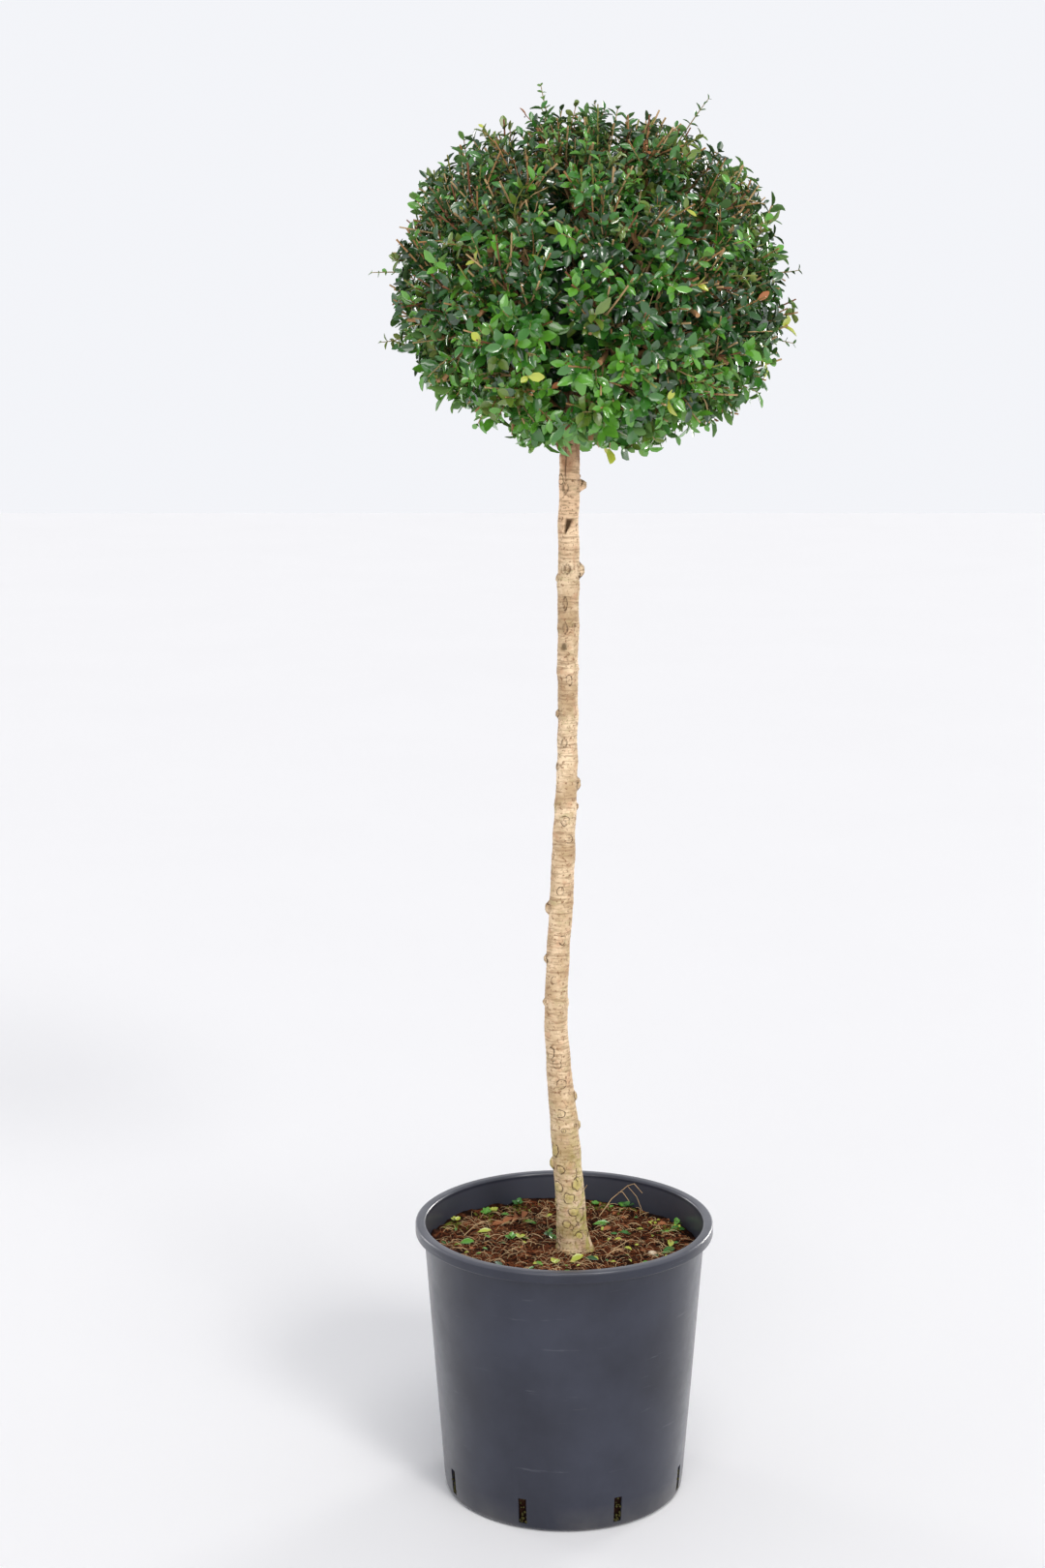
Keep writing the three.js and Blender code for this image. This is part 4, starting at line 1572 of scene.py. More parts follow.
@dataclass
class Foliage:
    """Opposite leaf pairs set along the twigs."""

    shape: CrownShape
    seed: int = 5
    spacing: float = 6.5 * MM
    length: float = 14.2 * MM
    spread: float = 0.76           # how far a leaf leans out from its twig: 0 along it, 1 square to it
    runner_spacing: float = 1.35
    form_shares: tuple[float, ...] = (0.30, 0.17, 0.24, 0.17, 0.12)
    shaded_within: float = 0.105
    clump_size: float = 0.055

    def __post_init__(self) -> None:
        """Starts the random draws."""
        self.random = np.random.default_rng(self.seed)

    @staticmethod
    def along(path: Array, from_tip: Array) -> tuple[Array, Array]:
        """Looks up places along a path.

        Args:
            path: The path's points.
            from_tip: Distances back from its tip.

        Returns:
            Point and direction at each distance.
        """
        run = lengths_along(path)
        at = np.clip(run[-1] - from_tip, 0.0, run[-1])
        points = np.stack([np.interp(at, run, path[:, i]) for i in range(3)], axis=1)
        row = np.clip(np.searchsorted(run, at, side="right") - 1, 0, len(path) - 2)
        return points, unit(np.diff(path, axis=0))[row]

    def spray(self, twig: Limb, pairs: int, gain: float, broad: float, young: bool) -> Leaves:
        """Leaf pairs of one twig, each turned a quarter from the last.

        Args:
            twig: The twig that bears them.
            pairs: How many pairs, counted back from the tip.
            gain: Size of this spray's leaves against the usual.
            broad: Width of this spray's leaves against the usual.
            young: Whether it's a growing tip, with small last leaves.

        Returns:
            The leaves of the spray.
        """
        steps = np.arange(pairs)
        wider = self.runner_spacing if twig.runner else 1.0
        spacing = self.spacing * self.random.uniform(0.85, 1.25) * wider
        points, axes = self.along(twig.path, twig.bare + (0.3 + steps) * spacing * (1.0 + 0.05 * steps))
        any_side = unit(np.cross(axes, self.random.normal(0, 1, 3)))
        other = np.cross(axes, any_side)
        turn = self.random.uniform(0, math.pi) + steps * math.pi / 2 + self.random.normal(0, 0.2, pairs)
        side = np.cos(turn)[:, None] * any_side + np.sin(turn)[:, None] * other
        place = np.repeat(points, 2, axis=0)
        axis = np.repeat(axes, 2, axis=0)
        out = np.repeat(side, 2, axis=0) * np.tile([1.0, -1.0], pairs)[:, None]
        count = len(place)
        lean = self.random.normal(self.spread, 0.13, (count, 1))
        forward = unit(out * lean + axis * (1 - lean * 0.62) + self.random.normal(0, 0.14, (count, 3)))
        outward = unit(place - self.shape.centre)
        light = outward * 0.90 + UP * 0.50 + axis * 0.15 + self.random.normal(0, 0.42, (count, 3))
        normal = unit(light - (light * forward).sum(1, keepdims=True) * forward)
        grown = np.repeat(np.clip(0.62 + 0.16 * steps, 0.0, 1.0) if young else np.ones(pairs), 2)
        length = self.length * gain * grown * np.clip(self.random.normal(1.0, 0.13, count), 0.62, 1.35)
        width = length * broad * self.random.normal(1.0, 0.10, count)
        form = self.random.choice(len(LEAF_FORMS), count, p=self.form_shares)
        return Leaves(place, euler_of(forward, normal), np.stack([length, width, length], axis=1), form)

    def tone_of(self, tip: Array, young: bool) -> LeafTone:
        """Deals a tone to a spray: fresher at young tips, darker inside, with painted light that makes it
        fresher towards the bottom and painted shade that makes it darker above.

        Args:
            tip: Tip of its twig.
            young: Whether it's a growing tip.

        Returns:
            The tone.
        """
        offset = tip - self.shape.centre
        low = float(np.clip(-offset[2] / 0.16, -1, 1))
        clump = noise.noise(Vector(tip) / self.clump_size) * 0.8
        # painted light and shade: fresh sprays grow commoner towards the bottom and deep ones above
        shares = {
            LeafTone.FRESH: np.clip(0.14 + 0.62 * max(low, 0) + 0.16 * clump, 0.03, 0.8),
            LeafTone.OLIVE: np.clip(0.03 + 0.12 * max(-low, 0) + (0.10 if young else 0.0), 0.02, 0.32),
            LeafTone.DEEP: max(0.17 - 0.16 * low - 0.15 * clump, 0.0),
            LeafTone.MID: 0.30,
        }
        if np.linalg.norm(offset) < self.shaded_within:
            return LeafTone.DEEP
        draw = self.random.random()
        for tone, share in shares.items():
            draw -= share
            if draw < 0:
                return tone
        return LeafTone.DARK


@dataclass
class Crown:
    """Boughs, branches, twigs, clipped stubs and leaves of the ball, and the shoots that stand out of it."""

    stem: StemLine
    leaf_maker: LeafMaker
    twig_maker: TwigMaker
    seed: int = 41
    young_chance: float = 0.22
    lime_chance: float = 0.023
    brown_chance: float = 0.005
    low_gain: float = 0.19         # how much larger the lowest leaves are, and the highest smaller
    low_broad: float = 0.12
    shoot_gain: float = 0.66
    runner_gain: float = 0.85
    inner_gain: float = 1.35
    inner_within: float = 0.12

    def __post_init__(self) -> None:
        """Readies the growth and the foliage."""
        self.shape = CrownShape()
        self.growth = Growth(self.shape, self.stem)
        self.foliage = Foliage(self.shape)
        self.sprays: dict[LeafTone, list[Leaves]] = {tone: [] for tone in LeafTone}
        self.random = np.random.default_rng(self.seed)

    def leaf_twig(self, twig: Limb, shoot: bool = False) -> None:
        """Sets leaves on one twig.

        Args:
            twig: The twig.
            shoot: Whether it's one that stands out of the ball.
        """
        young = shoot or self.random.random() < self.young_chance
        leafy = lengths_along(twig.path)[-1] * (0.95 if shoot else self.random.uniform(0.62, 0.92))
        pairs = int(np.clip((leafy - twig.bare) / self.foliage.spacing, 2, 6))
        offset = twig.path[-1] - self.shape.centre
        low = np.clip(-offset[2] / 0.17, -1, 1)
        gain = self.random.normal(1.0, 0.10) * (1.0 + self.low_gain * low)
        gain *= self.shoot_gain if shoot else 1.0
        gain *= self.inner_gain if np.linalg.norm(offset) < self.inner_within else 1.0
        gain *= self.runner_gain if twig.runner else 1.0
        tone = self.foliage.tone_of(twig.path[-1], young)
        spray = self.foliage.spray(twig, pairs, gain, 1.0 + self.low_broad * low, young)
        odd = self.random.random()
        if odd < self.lime_chance + self.brown_chance:
            count = 1 + int(self.random.integers(2))
            odd_tone = LeafTone.LIME if odd < self.lime_chance else LeafTone.BROWN
            self.sprays[odd_tone].append(spray.rows(slice(0, count)))
            spray = spray.rows(slice(count, None))
        self.sprays[tone].append(spray)

    def shoots(self) -> list[Limb]:
        """Bare-stalked young shoots along the frame's shoots, out to the plant's furthest tips.

        Returns:
            The shoots.
        """
        found = []
        for name in sorted(nodes_named("shoot_")):
            points = node_points(name)
            outward = (points - self.shape.centre) @ unit(points.mean(0) - self.shape.centre)
            tip, root = points[np.argmax(outward)], points[outward < outward.min() + 3 * MM].mean(0)
            base = root + unit(root - tip) * 30 * MM
            bend = (base + tip) / 2 + self.random.normal(0, 2.5 * MM, 3)
            found.append(Limb(bezier(base, bend, tip, 8), np.linspace(1.0, 0.4, 8) * MM))
        return found

    def build_boughs(self, boughs: list[Limb], rings: int = 22) -> None:
        """Makes the boughs with knotty bark, standing for the frame's boughs.

        Args:
            boughs: The boughs, from the growth.
            rings: Points along each.
        """
        knotty = []
        for bough in boughs:
            back = np.linspace(1, 0, rings) * 0.999 * lengths_along(bough.path)[-1]
            radii = np.interp(np.linspace(0, 1, rings), np.linspace(0, 1, len(bough.radii)), bough.radii)
            radii = radii * self.random.uniform(0.9, 1.14, rings)
            knotty.append(Limb(self.foliage.along(bough.path, back)[0], radii))
        self.twig_maker.make("boughs", knotty, BOUGH_BARK.make(), 16, nodes=nodes_named("bough_"))

    def build_wood(self) -> None:
        """Makes the branches, twigs and clipped stubs, each tone in its own piece."""
        growth, make = self.growth, self.twig_maker.make
        make("branches", [limb for limb in growth.limbs if limb.order < 2], BOUGH_BARK.make(), 8)
        thin = [limb for limb in growth.limbs if limb.order >= 2] + growth.twigs
        tones = list(TwigTone)
        picks = self.random.choice(len(tones), len(thin), p=[tone.value[2] for tone in tones])
        for number, tone in enumerate(tones):
            mine = [limb for limb, pick in zip(thin, picks) if pick == number]
            name, colour, _ = tone.value
            make(f"twigs_{name}", mine, PlainFinish(f"twig_{name}", colour).make(), 5)
        make("clipped_stubs", growth.stubs, PlainFinish("clipped_stub", (0.43, 0.23, 0.105), 0.65).make(), 7)

    def build(self) -> None:
        """Grows and makes the whole crown."""
        self.build_boughs(self.growth.run())
        shoots = self.shoots()
        for twig in self.growth.twigs:
            self.leaf_twig(twig)
        for shoot in shoots:
            self.leaf_twig(shoot, shoot=True)
        self.build_wood()
        young_bark = PlainFinish("young_shoot", (0.27, 0.20, 0.08), 0.55).make()
        self.twig_maker.make("stray_shoots", shoots, young_bark, 6, "foliage", nodes_named("shoot_"))
        for tone, sprays in self.sprays.items():
            nodes = ["crown"] if tone is LeafTone.DEEP else ()
            self.leaf_maker.make("leaves", tone, Leaves.join(sprays), nodes)
        count = sum(len(spray.place) for sprays in self.sprays.values() for spray in sprays)
        wood = len(self.growth.twigs), len(self.growth.stubs)
        LOG.info("crown: %d twigs, %d stubs, %d leaves", *wood, count)


# --- compost


class FibreTone(Enum):
    """Kinds of coir fibre: name, colour, and how many lie on the compost."""

    RUSSET = ("russet", (0.38, 0.115, 0.045), 2300)
    DARK = ("dark", (0.012, 0.004, 0.002), 1700)
    STRAW = ("straw", (0.92, 0.66, 0.37), 1150)


class CrumbKind(Enum):
    """Kinds of crumb: name, colour, and how many there are."""

    COIR = ("coir_crumbs", (0.045, 0.016, 0.007), 420)
    PALE = ("pale_crumbs", (0.36, 0.20, 0.085), 150)
    MOSS = ("moss", (0.13, 0.155, 0.022), 330)
    SLOT_MOSS = ("slot_moss", (0.050, 0.045, 0.012), 130)


@dataclass
class Compost:
    """Rough coir compost with loose fibres, fallen leaves, weeds, a dry twig and a pebble on it."""

    leaf_maker: LeafMaker
    twig_maker: TwigMaker
    stem: StemLine
    rings: int = 46
    columns: int = 150
    seed: int = 3
    round: float = 6.283            # radians of a full turn, for the draws
    bulge: tuple[float, float] = (0.94, 0.13)     # the root ball's share of its full width at a height
    bare_edge: float = 6 * MM       # next to the wall, where no crumbs lie
    clear_edge: float = 10 * MM
    leaf_edge: float = 3 * MM
    fibre_length: float = 14 * MM
    fibre_radius: float = 0.0125    # against the fibre's length
    lumpiness: float = 2.6 * MM
    pebble_size: tuple[float, float, float] = (4.6 * MM, 3.6 * MM, 3.0 * MM)
    moss_patches: tuple[tuple[float, float], ...] = (
        (-0.050, 0.116), (0.042, 0.128), (-0.126, 0.058), (-0.084, 0.094), (0.075, 0.118), (0.118, 0.060))

    def __post_init__(self) -> None:
        """Takes the compost's level and width from the frame."""
        low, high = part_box("soil")
        points = node_points("soil")
        reach = np.linalg.norm(points[:, :2], axis=1)
        self.edge = (high.x - low.x) / 2
        self.bottom = low.z
        self.foot_edge = reach[points[:, 2] < low.z + MM].max()
        self.level = float(points[reach < 0.02, 2].max())
        self.random = np.random.default_rng(self.seed)
        self.stalk = self.stem.middle(self.level)

    def height_at(self, x: Array, y: Array) -> Array:
        """Height of the rough surface: clods, a bank along the left wall, and a shallow dish round the stem.

        Args:
            x: Places across.
            y: Places from front to back.

        Returns:
            One height for each place.
        """
        flat = np.stack([x, y, np.zeros_like(x)], axis=-1)
        clods = clump_noise(flat, 0.024, 4.0) * 3.6 + clump_noise(flat, 0.010, 9.0) * 2.6
        clods = clods + clump_noise(flat, 0.0042, 2.0) * 0.9
        bank = 5.5 * smooth_step(0.72, 1.0, np.hypot(x, y) / self.edge) * (0.55 - 0.45 * x / self.edge)
        settled = smooth_step(0.016, 0.034, np.hypot(x - self.stalk[0], y - self.stalk[1]))
        return self.level + (clods * (0.35 + 0.65 * settled) + bank) * MM

    def spot_height(self, x: float, y: float) -> float:
        """Height of the surface at one place."""
        return float(self.height_at(np.array([x]), np.array([y]))[0])

    def bed(self) -> Thing:
        """Makes the root ball: a closed tub with the rough surface on top.

        Returns:
            The root ball.
        """
        turns = turns_round(self.columns)
        share, height = self.bulge
        rings = [
            ring_points(self.foot_edge, turns, self.bottom),
            ring_points(self.edge * share, turns, height)]
        for radius in self.edge * np.linspace(1.0, 0.0, self.rings + 1)[:-1]:
            heights = self.height_at(radius * np.cos(turns), radius * np.sin(turns))
            rings.append(ring_points(radius, turns, heights))
        return closed_tube("coir_bed", rings, (0, 0, self.bottom), (0, 0, self.spot_height(0.0, 0.0)))

    @staticmethod
    def fibre_recipe() -> Recipe:
        """Geometry Nodes that strew bent fibres over the level faces of a mesh.

        Returns:
            The recipe.
        """
        recipe = Recipe(
            "strew_fibres", Density="Float", Seed="Int", Fibre_Length="Float", Fibre_Radius="Float",
            Spread="Float", Finish="Material")
        density, seed, length, radius, spread, finish = recipe.asked
        get, compare, draw = recipe.get, "FunctionNodeCompare", "FunctionNodeRandomValue"
        rise = recipe.rise(get("InputNormal"))
        level = get(compare, {"A": rise, "B": 0.35}, operation="GREATER_THAN")
        out = recipe.reach(get("InputPosition"))
        inside = get(compare, {"A": out, "B": spread}, operation="LESS_THAN")
        chosen = get("FunctionNodeBooleanMath", {0: level, 1: inside}, operation="AND")
        some = get("SeparateGeometry", {"Geometry": recipe.geometry, "Selection": chosen}, domain="FACE")
        strewn = get("DistributePointsOnFaces", {"Mesh": some, "Density": density, "Seed": seed})
        arc = get("CurveQuadraticBezier", {
            "Resolution": 4, "Start": (-0.5, 0.0, -0.10), "Middle": (0.1, 0.34, 0.42),
            "End": (0.5, -0.12, -0.06)})
        ring = get("CurvePrimitiveCircle", {"Resolution": 3, "Radius": radius})
        fibre = get("CurveToMesh", {"Curve": arc, "Profile Curve": ring, "Fill Caps": True})
        size = get(draw, {"Min": 0.45, "Max": 1.25, "Seed": 7}, data_type="FLOAT")
        tilts = {"Min": (-0.5, -0.35, 0.0), "Max": (0.5, 0.35, 6.283), "Seed": 3}
        spin = get(draw, tilts, data_type="FLOAT_VECTOR")
        scale = recipe.maths("MULTIPLY", size, length)
        recipe.finish(recipe.set_out(strewn, fibre, Rotation=spin, Scale=scale), finish)
        return recipe

    def build_fibres(self, bed: Thing) -> None:
        """Strews the three kinds of fibre over the bed.

        Args:
            bed: The root ball.
        """
        recipe = self.fibre_recipe()
        area = math.pi * self.edge ** 2
        for number, tone in enumerate(FibreTone):
            name, colour, count = tone.value
            fibres = bpy.data.objects.new(f"coir_fibres_{name}", bed.data.copy())
            bpy.context.scene.collection.objects.link(fibres)
            recipe.run(
                fibres, Density=count / area, Seed=number + 1, Fibre_Length=self.fibre_length + number * MM,
                Fibre_Radius=self.fibre_radius, Spread=self.edge - self.clear_edge,
                Finish=PlainFinish(f"coir_{name}", colour, 0.85, 0.12).make())
            finish_piece(fibres, "compost")

    def slot_place(self, pot: Pot) -> tuple[float, float, float]:
        """Draws a place in one of the pot's slots.

        Args:
            pot: The pot.

        Returns:
            The place.
        """
        slot = int(self.random.integers(pot.slot_count))
        turn = pot.slot_turn + slot * FULL_TURN / pot.slot_count + self.random.uniform(-0.03, 0.03)
        height = pot.slot_sill + pot.slot_height * self.random.uniform(0.0, 1.0) ** 1.5
        reach = pot.wall_radius(height) - self.random.uniform(0.3, 2.6) * MM
        return reach * math.cos(turn), reach * math.sin(turn), height

    def bed_place(self, patch: tuple[float, float] | None) -> tuple[float, float, float]:
        """Draws a place on the compost.

        Args:
            patch: Middle of its patch of moss, if it has one.

        Returns:
            The place.
        """
        reach = self.edge - self.bare_edge
        out, turn = reach * math.sqrt(self.random.random()), self.random.uniform(0, self.round)
        x, y = out * math.cos(turn), out * math.sin(turn)
        if patch:
            spot = np.array(patch) * 0.97 + self.random.normal(0, 7.5 * MM, 2)
            x, y = spot * min(1.0, reach / math.hypot(*spot))
        return x, y, self.spot_height(x, y)

    def build_crumbs(self, pot: Pot) -> None:
        """Scatters coir crumbs and moss over the compost, and moss in the pot's slots.

        Args:
            pot: The pot.
        """
        recipe = Recipe("scatter_crumbs", Finish="Material", Lumpiness="Float")
        finish, lumps = recipe.asked
        ball = recipe.get("MeshIcoSphere", {"Radius": 1.0, "Subdivisions": 1})
        bits = recipe.set_out(recipe.geometry, ball, Scale=recipe.read("size", "FLOAT_VECTOR"))
        noisy = recipe.add("ShaderNodeTexNoise", {"Vector": recipe.get("InputPosition"), "Scale": 900.0})
        even = recipe.vectors("SUBTRACT", noisy.outputs["Color"], (0.5, 0.5, 0.5))
        push = recipe.vectors("SCALE", even, lumps)
        real = recipe.get("RealizeInstances", {"Geometry": bits})
        recipe.finish(recipe.get("SetPosition", {"Geometry": real, "Offset": push}), finish)
        for kind in CrumbKind:
            name, colour, count = kind.value
            patches = self.moss_patches if kind is CrumbKind.MOSS else (None,)
            spots = [patches[i % len(patches)] for i in range(count)]
            sunk = kind is CrumbKind.SLOT_MOSS
            places = [self.slot_place(pot) if sunk else self.bed_place(spot) for spot in spots]
            thing = mesh_object(name, np.array(places), [])
            size = self.random.uniform(0.6, 1.9, (count, 1)) * self.random.uniform(0.7, 1.2, (count, 3)) * MM
            write_attribute(thing, "size", "FLOAT_VECTOR", size)
            recipe.run(thing, Finish=PlainFinish(name, colour, 0.9, 0.2).make(), Lumpiness=self.lumpiness)
            finish_piece(thing, "compost")

    def lay(self, x: float, y: float, turn: float, length: float, tilt: float, form: int,
            width: float = 1.0) -> Leaves:
        """Lays one leaf on the compost, drawn in where it would reach the wall.

        Args:
            x: Place of its base across.
            y: Place of its base from front to back.
            turn: Where its tip points, in degrees from +X.
            length: Its length.
            tilt: How far its tip is raised, in degrees.
            form: Number of its form.
            width: Its width against the usual.

        Returns:
            The leaf.
        """
        heading, rise = math.radians(turn), math.radians(tilt)
        ahead = (math.cos(heading), math.sin(heading))
        out = math.hypot(x, y)
        furthest = max(out, math.hypot(x + length * ahead[0], y + length * ahead[1]))
        excess = furthest - (self.edge - self.leaf_edge)
        if excess > 0:
            x, y = x * (1 - excess / out), y * (1 - excess / out)
        forward = np.array([[ahead[0] * math.cos(rise), ahead[1] * math.cos(rise), math.sin(rise)]])
        light = np.array([[0.25, -0.35, 1.0]])
        normal = unit(light - (light * forward).sum() * forward)
        place = np.array([[x, y, self.spot_height(x, y) + 2.2 * MM]])
        size = np.array([[length, length * width, length]])
        return Leaves(place, euler_of(forward, normal), size, np.array([form]))

    def rosette(self, x: float, y: float, leaves: int, length: float) -> list[Leaves]:
        """A small weed: a ring of rising leaves.

        Args:
            x: Its place across.
            y: Its place from front to back.
            leaves: How many leaves it has.
            length: Their usual length.

        Returns:
            Its leaves.
        """
        start = self.random.uniform(0, 360)
        return [
            self.lay(x, y, start + i * 360 / leaves, length * self.random.uniform(0.7, 1.1),
                     self.random.uniform(18, 55), 0, 1.25)
            for i in range(leaves)]

    def build_litter(self) -> None:
        """Lays the fallen leaves, the weeds and the scraps."""
        mid, fresh, lime, brown, dark = (
            LeafTone.MID, LeafTone.FRESH, LeafTone.LIME, LeafTone.BROWN, LeafTone.DARK)
        batches: dict[LeafTone, list[Leaves]] = {tone: [] for tone in (mid, fresh, lime, brown, dark)}
        fallen = [
            (fresh, -0.111, 0.008, 10, 15, 10, 0), (mid, 0.120, 0.046, 20, 19, 8, 1),
            (mid, 0.104, -0.015, 35, 17, 12, 2), (lime, 0.113, 0.004, 80, 13, 20, 0),
            (lime, 0.006, -0.047, 15, 15, 25, 0), (dark, 0.021, -0.043, 5, 14, 8, 3),
            (fresh, 0.033, 0.070, 4, 20, 5, 4), (fresh, -0.030, 0.072, 160, 18, 6, 4),
            (mid, 0.060, 0.048, -30, 14, 5, 1), (brown, 0.043, 0.046, 40, 12, 18, 3),
            (lime, -0.093, 0.040, 10, 15, 12, 4), (brown, 0.113, 0.062, 200, 11, 15, 1),
            (dark, -0.066, -0.058, 120, 14, 8, 2), (lime, 0.060, -0.085, 250, 12, 10, 0),
        ]
        for tone, x, y, turn, length, tilt, form in fallen:
            batches[tone].append(self.lay(x, y, turn, length * MM, tilt, form))
        for step in range(4):
            x, y = -0.078 + 0.011 * step, 0.062 + 0.006 * step
            batches[brown].append(self.lay(x, y, 28 + 14 * step, 17 * MM, 14 + 9 * (step % 2), 3, 0.8))
        weeds = [
            (fresh, -0.084, 0.091, 6, 8), (lime, -0.078, 0.097, 5, 7), (fresh, -0.057, 0.020, 4, 9),
            (lime, -0.049, 0.024, 3, 8), (fresh, -0.012, 0.022, 6, 8), (mid, -0.017, 0.030, 5, 7),
            (lime, -0.011, -0.050, 5, 7), (fresh, 0.127, 0.062, 5, 9), (lime, 0.124, 0.050, 4, 7),
            (mid, 0.075, 0.126, 6, 10), (fresh, 0.066, 0.118, 5, 8), (mid, -0.050, 0.120, 6, 8),
            (fresh, 0.036, 0.126, 6, 7), (lime, -0.118, 0.066, 5, 7), (mid, 0.090, -0.070, 5, 7),
            (fresh, -0.020, -0.112, 5, 7),
        ]
        for tone, x, y, count, length in weeds:
            batches[tone] += self.rosette(x, y, count, length * MM)
        scraps = (brown, lime, lime, fresh, mid)
        for _ in range(120):
            tone = scraps[self.random.integers(len(scraps))]
            out = self.edge * math.sqrt(self.random.uniform(0.08, 0.9))
            turn = self.random.uniform(0, self.round)
            length = self.random.uniform(4, 9) * MM
            batches[tone].append(self.lay(
                out * math.cos(turn), out * math.sin(turn), self.random.uniform(0, 360), length,
                self.random.uniform(-5, 30), int(self.random.integers(len(LEAF_FORMS)))))
        for tone, leaves in batches.items():
            self.leaf_maker.make("litter", tone, Leaves.join(leaves))

    def build_bits(self) -> None:
        """Makes the dry twigs, the stalks and the pale pebble; the runs' heights are in millimetres."""
        runs = [
            [(0.040, 0.088, 4), (0.054, 0.104, 15), (0.072, 0.116, 27), (0.082, 0.110, 15),
             (0.088, 0.100, 3)],
            [(0.072, 0.116, 27), (0.079, 0.108, 30), (0.088, 0.103, 23)],
            [(0.062, 0.110, 20), (0.066, 0.100, 25), (0.073, 0.092, 17)],
            [(-0.017, 0.058, 2), (-0.018, 0.060, 14), (-0.015, 0.061, 27)],
            [(-0.108, 0.030, 3), (-0.096, 0.045, 7), (-0.078, 0.060, 9), (-0.066, 0.064, 5)],
            [(0.052, -0.010, 3), (0.070, 0.004, 6), (0.084, 0.014, 3)],
            [(0.010, 0.104, 3), (0.018, 0.108, 16), (0.027, 0.110, 30)],
        ]
        twigs = []
        for run in runs:
            path = np.array(run, float)
            path[:, 2] = self.height_at(path[:, 0], path[:, 1]) + path[:, 2] * MM
            twigs.append(Limb(path, np.linspace(0.60, 0.28, len(path)) * MM))
        finish = PlainFinish("dry_twig", (0.50, 0.34, 0.18), 0.75).make()
        self.twig_maker.make("dry_twigs", twigs, finish, 6)
        finish_piece(self.pebble(0.093, -0.014), "compost")

    def pebble(self, x: float, y: float) -> Thing:
        """A small uneven cream pebble half sunk in the compost.

        Args:
            x: Its place across.
            y: Its place from front to back.

        Returns:
            The pebble.
        """
        centre = np.array([x, y, self.spot_height(x, y) + 2.4 * MM])
        pole = np.array([0, 0, 3.05 * MM])
        turns = turns_round(18)
        rings = []
        for rise in np.linspace(-80, 80, 11):
            level = math.radians(rise)
            lump = 1 + 0.10 * np.sin(3 * turns + rise / 30) + 0.05 * np.cos(5 * turns)
            ring = ring_points(math.cos(level) * lump, turns, math.sin(level))
            rings.append(centre + ring * self.pebble_size)
        stone = closed_tube("pebble", rings, centre - pole, centre + pole)
        stone.data.materials.append(CREAM_PEBBLE.make())
        return stone

    def build(self, pot: Pot) -> None:
        """Makes the compost and everything that lies on it, and the moss in the pot's slots.

        Args:
            pot: The pot.
        """
        bed = self.bed()
        bed.data.materials.append(CoirBed().make())
        self.build_fibres(bed)
        self.build_crumbs(pot)
        finish_piece(bed, "compost", ["soil"])
        self.build_litter()
        self.build_bits()


# --- studio


class Lamp(Enum):
    """Wide distant lamps: the direction they shine from, their width in degrees, and their power."""

    KEY = ((0.75, -1.25, 1.0), 14.0, 0.98)
    SKY = ((0.10, -0.45, 1.0), 30.0, 0.90)
    LOW_FILL = ((-0.25, -1.0, 0.04), 34.0, 0.92)
    LEFT_RIM = ((-1.3, 0.95, 0.30), 16.0, 0.60)
    RIGHT_RIM = ((1.0, 1.10, 0.22), 20.0, 1.60)


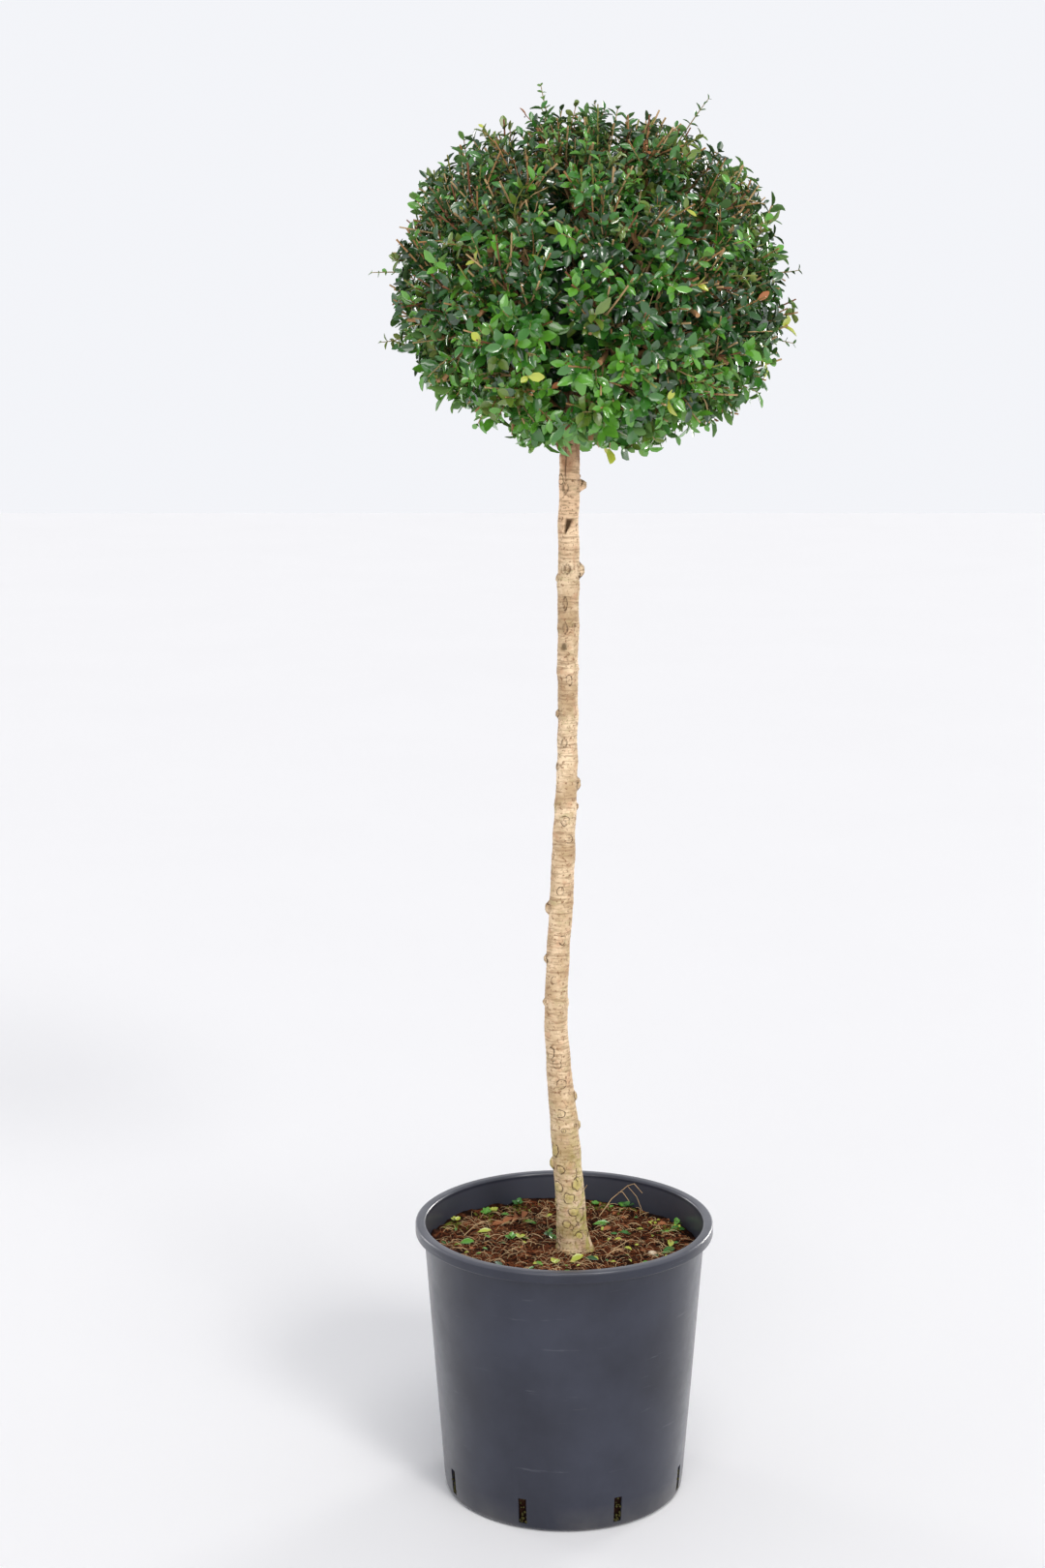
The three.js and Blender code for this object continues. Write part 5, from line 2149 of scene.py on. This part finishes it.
@dataclass
class Studio:
    """Pale floor and room, soft lights and the camera."""

    lens: float = 57.93
    eye: tuple[float, float, float] = (-0.0446, -2.559, 1.235)
    pitch: float = math.radians(79.6)
    floor_size: float = 14.0
    floor_drop: float = 0.4 * MM
    lamp_colour: Colour = (1.0, 0.975, 0.94)
    low_wall: tuple[float, Colour] = (0.16, (0.90, 0.91, 0.945))
    high_wall: tuple[float, Colour] = (0.55, (0.42, 0.425, 0.45))

    def floor(self) -> None:
        """Lays a wide pale floor."""
        corners = np.array([[-1, -1, 0], [1, -1, 0], [1, 1, 0], [-1, 1, 0]]) * self.floor_size
        floor = mesh_object("floor", corners - np.array([0, 0, self.floor_drop]), [(0, 1, 2, 3)])
        floor.data.materials.append(PALE_FLOOR.make())

    def room(self) -> None:
        """Sets up a room whose walls are bright near the horizon and dimmer overhead."""
        world = bpy.data.worlds.new("white_room")
        world.use_nodes = True
        net = NodeNet()
        net.tree = world.node_tree
        height = net.rise(net.add("TexCoord").outputs["Generated"])
        colour = net.ramp(height, self.low_wall, self.high_wall)
        net.tree.links.new(colour, net.tree.nodes["Background"].inputs["Color"])
        bpy.context.scene.world = world

    def lights(self) -> None:
        """Hangs a wide key on the front right, a sky, a low fill and a rim light on each hand."""
        for lamp in Lamp:
            place, width, power = lamp.value
            data = bpy.data.lights.new(lamp.name.lower(), "SUN")
            data.angle = math.radians(width)
            data.energy = power
            data.color = self.lamp_colour
            thing = bpy.data.objects.new(data.name, data)
            thing.rotation_euler = (-Vector(place)).to_track_quat("-Z", "Y").to_euler()
            bpy.context.scene.collection.objects.link(thing)

    def camera(self) -> None:
        """Sets the camera at eye height, tilted down a little."""
        data = bpy.data.cameras.new("camera")
        data.lens = self.lens
        data.sensor_width = 36.0
        data.clip_end = 60.0
        camera = bpy.data.objects.new("camera", data)
        camera.matrix_world = Matrix.Translation(self.eye) @ Matrix.Rotation(self.pitch, 4, "X")
        bpy.context.scene.collection.objects.link(camera)
        bpy.context.scene.camera = camera

    def build(self) -> None:
        """Sets up the studio."""
        self.floor()
        self.room()
        self.lights()
        self.camera()
        bpy.context.scene.view_settings.view_transform = "Standard"


# --- main


def main() -> None:
    """Builds the studio and every piece of the plant, in order."""
    logging.basicConfig(level=logging.INFO, format="%(name)s %(message)s")
    Studio().build()
    stem_line = StemLine()
    leaf_maker, twig_maker = LeafMaker(), TwigMaker()
    pot = Pot()
    pot.build()
    Stem(stem_line).build()
    Compost(leaf_maker, twig_maker, stem_line).build(pot)
    Crown(stem_line, leaf_maker, twig_maker).build()
    leaf_maker.clear_away()


if __name__ == "__main__":
    main()
